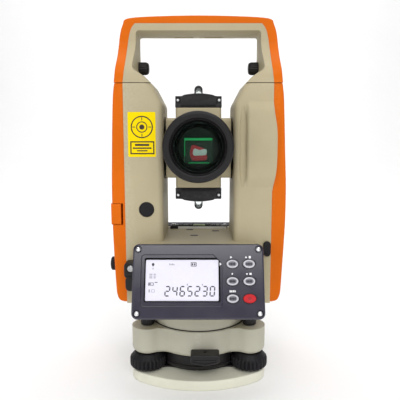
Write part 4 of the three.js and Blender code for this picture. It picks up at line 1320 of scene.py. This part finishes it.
def telescope():
    main = plate("barrel_block", -20, 20, -27, 27, 3.5, -29.6, 29.6, "X", 8)
    bevel(main, 1.0, 3, 40)
    neck = plate("neck", -20.5, 20.5, -22, 24, 3, -35.8, 35.8, "Z", 8)
    bevel(neck, 1.0, 3, 40)
    barrel = lathe("barrel", [(0, -42), (24.7, -42), (24.7, 32), (24.2, 34), (20, 40), (19, 42), (9.5, 42),
        (9.5, 62), (0, 62)], "Y", steps=96)
    fuse(main, neck, barrel, rod("arms", 19, -30.4, 30.4, "X", steps=80),
        rod("axle", 8, -52, 52, "X", steps=48))
    cut(main, lathe("tool", [(0, -60), (17, -60), (17, 26), (6, 30), (6, 80), (0, 80)], "Y", steps=64))
    aim(main, BEIGE_PAINT, ["telescope_body"], 40)
    for side, name in ((-1, "left"), (1, "right")):
        ring = lathe(f"axle_seal_{name}", [(18.8, side * 29.4), (27.2, side * 29.4), (27.9, side * 29.7),
            (27.9, side * 30.7), (27.2, side * 31.0), (18.8, side * 31.0)], "X", steps=96)
        aim(ring, MATT_BLACK)

    front, back, r = -75, -24, 28.7
    profile = [(22.2, front + 2.4), (22.9, front + 0.6), (23.9, front), (26.6, front), (27.8, front + 0.5),
        (28.5, front + 1.4), (r, front + 2.6), (r, front + 9), (r - 0.35, front + 9.3),
        (r - 0.35, front + 10.1), (r, front + 10.4), (r, -36), (r - 0.4, -35), (r - 1.6, -34.4),
        (r - 1.6, back), (25, back), (25, -46), (20, -46), (20, -56.0), (22.2, -56.0), (22.2, -61.0),
        (22.6, -61.4), (22.2, -61.8), (22.6, -62.2), (22.2, -62.6)]
    y = -63.4
    while y > front + 3.2:
        profile += [(22.2, y), (22.75, y - 0.35), (22.75, y - 0.75), (22.2, y - 1.1)]
        y -= 1.5
    aim(lathe("objective_shade", profile, "Y", steps=128), HOOD, ["objective_hood"], 40)
    ridges = []
    for k in range(3):
        y = -41 + 1.9 * k
        ridges.append(fluted("ridge", [(r - 0.6, y, 0), (r + 0.05, y + 0.2, 0.22),
            (r + 0.05, y + 1.2, 0.22), (r - 0.6, y + 1.4, 0)], 72, "Y", (0, 0, 0), 1, 4))
    aim(gather("shade_grip", ridges), HOOD, sharp=60)

    seat = -60.8
    lens = lathe("objective_glass", [(0, seat - 1.5), (7, seat - 1.36), (13, seat - 0.95), (18, seat - 0.3),
        (22.1, seat + 0.6), (22.1, seat + 4.4), (0, seat + 4.4)], "Y", steps=96)
    aim(lens, OBJECTIVE, ["objective_lens"])
    retaining = lathe("lens_retaining_ring", [(20.6, seat - 0.2), (22.1, seat - 0.9), (22.1, seat + 0.2),
        (20.6, seat + 0.2)], "Y", steps=96)
    aim(retaining, MATT_BLACK)
    baffle = lathe("barrel_baffle", [(0, -34), (16.6, -34), (16.6, -42.8), (24.6, -42.8), (24.6, -42.2),
        (16.9, -42.2), (16.9, -33.4), (0, -33.4)], "Y")
    aim(baffle, MATT_BLACK)

    half_x, half_z, drop, y0, y1 = 11.6, 10.4, -2.7, -54.6, -40
    top, bottom = drop + half_z, drop - half_z
    core = plate("prism_core", 0.4 - half_x, half_x - 0.4, bottom + 0.6, top - 1.4, 0.6, y0 + 0.4, y1)
    aim(bevel(core, 0.3, 2, 40), PRISM_FACE, ["beam_splitter_prism"])
    # Green edge bars of the prism: the lit bars carry a painted highlight, the dim bars painted shade.
    lit = [(-half_x, half_x, top - 1.9, top), (-half_x, -half_x + 0.6, bottom + 6, top - 2.1),
        (-half_x + 3.6, half_x - 2.4, bottom, bottom + 0.7)]
    dim = [(-half_x, -half_x + 0.5, bottom + 0.6, bottom + 5.8), (half_x - 0.4, half_x, bottom, top - 2.1)]
    for name, material, bars in (("lit", PRISM_EDGE_HIGHLIGHT, lit), ("dim", PRISM_EDGE_SHADE, dim)):
        shells = [plate("bar", *box, 0.15, y0, y0 + 0.8, steps=3) for box in bars]
        aim(gather(f"prism_edge_{name}", shells), material)
    # The red and pale patches on the prism face are painted reflections.
    red = [(-7.2, -5, 3), (-5.6, -10.9, 3), (6.6, -10.5, 2), (7.6, -8, 2), (5.2, -1, 2), (-3, 1.8, 2),
        (-5.6, 2, 2)]
    pale = [(-4.6, -4, 2), (-4.2, -6.8, 1.5), (6.6, -6.4, 2), (7.6, -0.8, 2), (1.0, -2.2, 1),
        (-3.6, -0.4, 2)]
    aim(prism("prism_red_painted_reflection", fillet(red, 6), y0 + 0.25, y0 + 0.6), PRISM_RED_REFLECTION)
    aim(prism("prism_pale_coating", fillet(pale, 6), y0 + 0.15, y0 + 0.5), PRISM_PALE_REFLECTION)

    inner = lathe("focusing_element", [(0, -10.8), (7, -11.4), (13.4, -12), (14, -11.4), (14, -5.6),
        (13.4, -5), (7, -5.8), (0, -6.4)], "Y")
    aim(inner, CLEAR, ["focusing_lens"], body="focusing_lens")


def eyepiece():
    front, back, r = 42.3, 56, 21
    ring = fluted("focusing_grip", [(9.8, front, 0), (r - 1.8, front, 0), (r - 0.8, front + 0.5, 0.3),
        (r, front + 1.3, 0.8), (r, back - 2.6, 0.8), (r - 0.7, back - 1.4, 0.5), (r - 2.0, back - 0.5, 0.0),
        (r - 3.4, back, 0), (9.8, back, 0), (9.8, front, 0)], 44, "Y")
    aim(ring, RUBBER, ["focusing_ring"], 50, "focusing_ring")

    front, back = 56.3, 74
    cup = fluted("eyepiece_grip", [(9.8, front, 0), (12.2, front, 0), (13, front + 0.6, 0.4),
        (13, front + 8.4, 0.4), (12.6, front + 9.0, 0), (11.4, front + 9.4, 0), (11.4, front + 10.2, 0),
        (12.4, front + 10.6, 0), (12.4, back - 5.4, 0), (11.0, back - 2.0, 0), (10.2, back - 0.5, 0),
        (9.2, back, 0), (8.0, back - 0.3, 0), (6.4, back - 2.2, 0), (5.0, back - 3.0, 0),
        (4.6, back - 3.0, 0), (4.6, 63, 0), (9.8, 63, 0), (9.8, front, 0)], 36, "Y")
    aim(cup, BLACK, ["eyepiece_ring"], 50, "eyepiece_ring")
    lens = lathe("eyepiece_glass", [(0, 66.4), (4.6, 66.4), (4.6, 69.0), (2.5, 69.8), (0, 70.1)], "Y",
        steps=40)
    aim(lens, OBJECTIVE, body="eyepiece_ring")
    marks = []
    for k in range(-4, 5):
        half = 0.5 if k % 2 else 0.9
        line = plate("line", -0.12, 0.12, front + 10.7, front + 10.7 + 2 * half, 0.05, 12.35, 12.5, "Z", 2)
        marks.append(move(line, Matrix.Rotation(math.radians(8 * k), 4, "Y")))
    aim(gather("eyepiece_scale", marks), LEGEND, body="eyepiece_ring")


def sight(name, node, turn):
    """The black cover with its collimator arch, over or under the neck."""
    w, base, lug, crown, top, arch, wall = 20.8, 36.1, 46.2, 48.2, 56.0, 3.75, 0.95
    crest = [(x, crown + 0.3 - x * x / 120) for x in range(11, -1, -1)]
    right = [(16.3, base), (16.3, lug, 0.4), (14.8, lug, 0.8), (12.9, crown - 1.0, 1.6)]
    middle = fillet(symmetric(right + crest), 5)
    cover = [bevel(prism("middle", middle, -21.5, 23.5), 0.6, 4, 40),
        bevel(plate("flange", -w, w, base, base + 3.0, 0.5, -21.5, 23.5), 0.5, 2, 40)]
    heads = []
    for side in (-1, 1):
        x0, x1 = sorted((side * 16.0, side * w))
        post = bevel(plate("lug", x0, x1, base + 1, lug, 0.7, -20.2, 22.2), 0.5, 3, 40)
        for facing, y0, y1, seat in ((-1, -23, -19.0, -19.2), (1, 21.0, 25, 21.2)):
            cut(post, rod("tool", 1.75, y0, y1, "Y", (side * 18.5, 0, 42.6), 32))
            heads.append(screw_head("head", 1.3, 0.8, "Y", (side * 18.5, seat, 42.6), facing))
        cover.append(post)
    centre, bore = (0, top - arch), arch - wall
    outer = [(arch, crown - 2)] + arc(centre, arch, 0, 180, 20) + [(-arch, crown - 2)]
    inner = [(-bore, crown - 2)] + arc(centre, bore, 180, 0, 20) + [(bore, crown - 2)]
    cover.append(bevel(prism("arch", outer + inner, -15.5, 17.5), 0.2, 2, 50))
    window = plate(f"{name}_window", -bore, bore, crown - 1, top - 1.2, 1.5, -3.2, -2.4)
    matrix = Matrix.Rotation(math.radians(turn), 4, "Y")
    aim(move(gather(f"{name}_cover", cover), matrix), BLACK, [node], 40)
    aim(move(gather(f"{name}_screws", heads), matrix), CHROME, sharp=40)
    aim(move(window, matrix), CLEAR, sharp=40)


telescope()
eyepiece()
sight("upper_sight", "top_sight", 0)
sight("lower_sight", "bottom_sight", 180)

# ---- carrying handle

GRIP_EDGE = [(65.6, 262), (64.9, 270.3), (63.8, 279), (63, 288), (62.8, 299), (61.9, 309), (59.6, 318),
    (56, 323)]
BAND_EDGE = [(73.3, 262), (72.8, 270.3), (71.7, 281), (70.9, 292), (70.8, 301), (69.7, 312.5), (67, 322),
    (61.5, 327.6), (30, 329.5), (0, 330)]


def handle_side(margin):
    """The side view of the handle as a tool: deep at the feet, narrow at the bar."""
    right = [(35.5 - margin, 255)]
    for k in range(17):
        blend = (1 + math.cos(math.pi * k / 16)) / 2
        right.append((16.5 + 19.0 * blend - margin, 277 + 2 * k))
    right.append((16.5 - margin, 345))
    return prism("side", symmetric(right), -90, 90, "X")


def grip_line(margin):
    curve = [(x + margin, z + margin * max(0, (z - 309) / 14)) for x, z in smooth(GRIP_EDGE, 5)]
    return symmetric(curve)


def flared(name, outline):
    """The handle opening as a cutter that flares towards the front and the back above the screws."""
    depth, straight, slope = 50, 8, 0.28
    half_width, screws_top, rise_from, rise_over = 54.6, 270.5, 298, 16.5
    verts = []
    for y in (-depth, -straight, straight, depth):
        flare = slope * (abs(y) - straight)
        for x, z in outline:
            aside = slope * flare * x / half_width * ease((z - screws_top) / 10)
            verts.append((x + aside, y, z + flare * max(0, (z - rise_from) / rise_over)))
    count = len(outline)
    faces = [list(range(count)), list(range(3 * count, 4 * count))]
    for ring in range(3):
        for k in range(count):
            a, b = ring * count + k, ring * count + (k + 1) % count
            faces.append([a, b, b + count, a + count])
    return build(name, verts, faces)


def handle():
    bottom = span("handle_grip")[0].z
    lock = pivot("handle_lock_left_turn").z

    def below():
        return block("tool", (-90, -60, 200), (90, 60, bottom))

    grip = prism("grip", grip_line(0.0), -50, 50, "Y")
    keep_inside(grip, handle_side(0.0))
    bevel(grip, 1.4, 4, 30)
    right = [(30, 240, 0), (41.3, 270.3, 8), (49.0, 278.4, 6), (55.0, 281.5, 5), (54.6, 314.6, 2.5),
        (30, 314.5, 60), (0, 314.5)]
    opening = fillet(symmetric(right), 8)
    cut(grip, flared("tool", opening), below())
    bevel_where(grip, 0.8, 3, lambda at: abs(at.x) < 62 and 288 < at.z < 321 and abs(at.y) > 12)
    keep_inside(grip, block("tool", (-90, -60, bottom), (90, 60, 340)))
    tools = []
    for side in (-1, 1):
        x0, x1 = sorted((side * 5, side * 22))
        tools.append(block("tool", (x0, 1.5, 300), (x1, 7.2, 317)))
        x0, x1 = sorted((side * 38, side * 70))
        tools.append(rod("tool", 2.8, x0, x1, "X", (0, 0, lock), 32))
    cut(grip, *tools)
    piece(grip, "handle", BEIGE_PAINT, ["handle_grip"], sharp=40)

    band = prism("band", symmetric(smooth(BAND_EDGE, 5)), -50, 50, "Y")
    keep_inside(band, handle_side(1.0))
    bevel(band, 2.2, 5, 35)
    cut(band, prism("tool", grip_line(0.15), -70, 70, "Y"), below())
    piece(band, "handle", ORANGE, ["handle_band"], sharp=40)

    for side, name in ((-1, "left"), (1, "right")):
        node = f"handle_lock_{name}"
        inner, outer = 45.6, 55.2
        profile = [(0.01, inner, 0), (3.4, inner, 0), (4.6, inner + 0.5, 0.1), (5.4, inner + 1.6, 0.3),
            (5.8, inner + 3.2, 0.4), (5.8, outer - 0.6, 0.4), (5.3, outer, 0.2), (2.5, outer, 0),
            (2.5, 60, 0), (0.01, 60, 0)]
        knob = fluted(f"handle_screw_{name}", [(r, side * x, d) for r, x, d in profile], 16, "X",
            (0, 0, lock))
        piece(knob, node, BLACK, [node], sharp=50)


handle()

# ---- CAD nodes that stay in view

KEPT = {
    "horizontal_circle": CLEAR,
    "vertical_circle": CLEAR,
    "vertical_spindle": STEEL,
}
for node, material in KEPT.items():
    shown = frame["nodes"][node]
    for slot in shown.material_slots:
        slot.material = material

# ---- floor, light and camera


def stage_surface(name, colour, roughness):
    surface = Surface(name, roughness)
    tone = surface.mix(surface.cloud(6, 3, 0.3, 0.7), scaled(colour, 0.99), colour)
    surface.bump(surface.noise(400, 2), 0.02, 0.0002)
    scuffs = surface.cloud(30, 3, 0.3, 0.7, roughness - 0.04, roughness + 0.04)
    surface.set(base_color=tone, roughness=scuffs)
    return surface.material


floor_reach, floor_end, bend, wall_top, thickness = 6000, 1400, 900, 4200, 20
wall, outside = floor_end + bend, floor_end + bend + thickness
sweep = [(-floor_reach, 0)] + arc((floor_end, bend), bend, -90, 0, 9)
sweep += [(wall, wall_top), (outside, wall_top), (outside, -thickness), (-floor_reach, -thickness)]
floor = prism("floor", sweep, -floor_reach, floor_reach, "X")
floor.data.shade_smooth()
floor.data.set_sharp_from_angle(angle=math.radians(40))
floor.data.materials.append(stage_surface("floor_white", (0.97, 0.97, 0.97), 0.9))


def area_light(name, place, target, size, power):
    lamp = bpy.data.lights.new(name, "AREA")
    lamp.shape = "RECTANGLE"
    lamp.size, lamp.size_y = size
    lamp.energy = power
    obj = bpy.data.objects.new(name, lamp)
    obj.location = place
    obj.rotation_euler = (Vector(target) - Vector(place)).to_track_quat("-Z", "Y").to_euler()
    bpy.context.scene.collection.objects.link(obj)


area_light("key_light", (0.12, -1.42, 1.3), (0, 0, 0.16), (1.3, 0.8), 13)
area_light("fill_light", (-1.2, -1.5, 0.5), (0, 0, 0.16), (1.0, 1.0), 4)
area_light("front_light", (0.5, -1.6, 0.25), (0, 0, 0.12), (1.2, 0.4), 2)
area_light("top_light", (0.0, 0.1, 1.8), (0, 0, 0.2), (2.2, 1.6), 18)
area_light("backdrop_light", (0, 0.9, 1.7), (0, 2.3, 0.5), (3.0, 0.8), 18)

world = bpy.data.worlds.new("studio")
world.use_nodes = True
world.node_tree.nodes["Background"].inputs["Color"].default_value = (1, 1, 1, 1)
world.node_tree.nodes["Background"].inputs["Strength"].default_value = 0.34
bpy.context.scene.world = world
bpy.context.scene.view_settings.view_transform = "Standard"

camera_data = bpy.data.cameras.new("camera")
camera_data.lens = 43.785
camera_data.sensor_width = 36
camera_data.shift_x = -0.002
camera_data.clip_start = 0.01
camera = bpy.data.objects.new("camera", camera_data)
camera.location = (0.0021, -0.4616, 0.2275)
camera.rotation_euler = (math.radians(82.13), 0, 0)
bpy.context.scene.collection.objects.link(camera)
bpy.context.scene.camera = camera
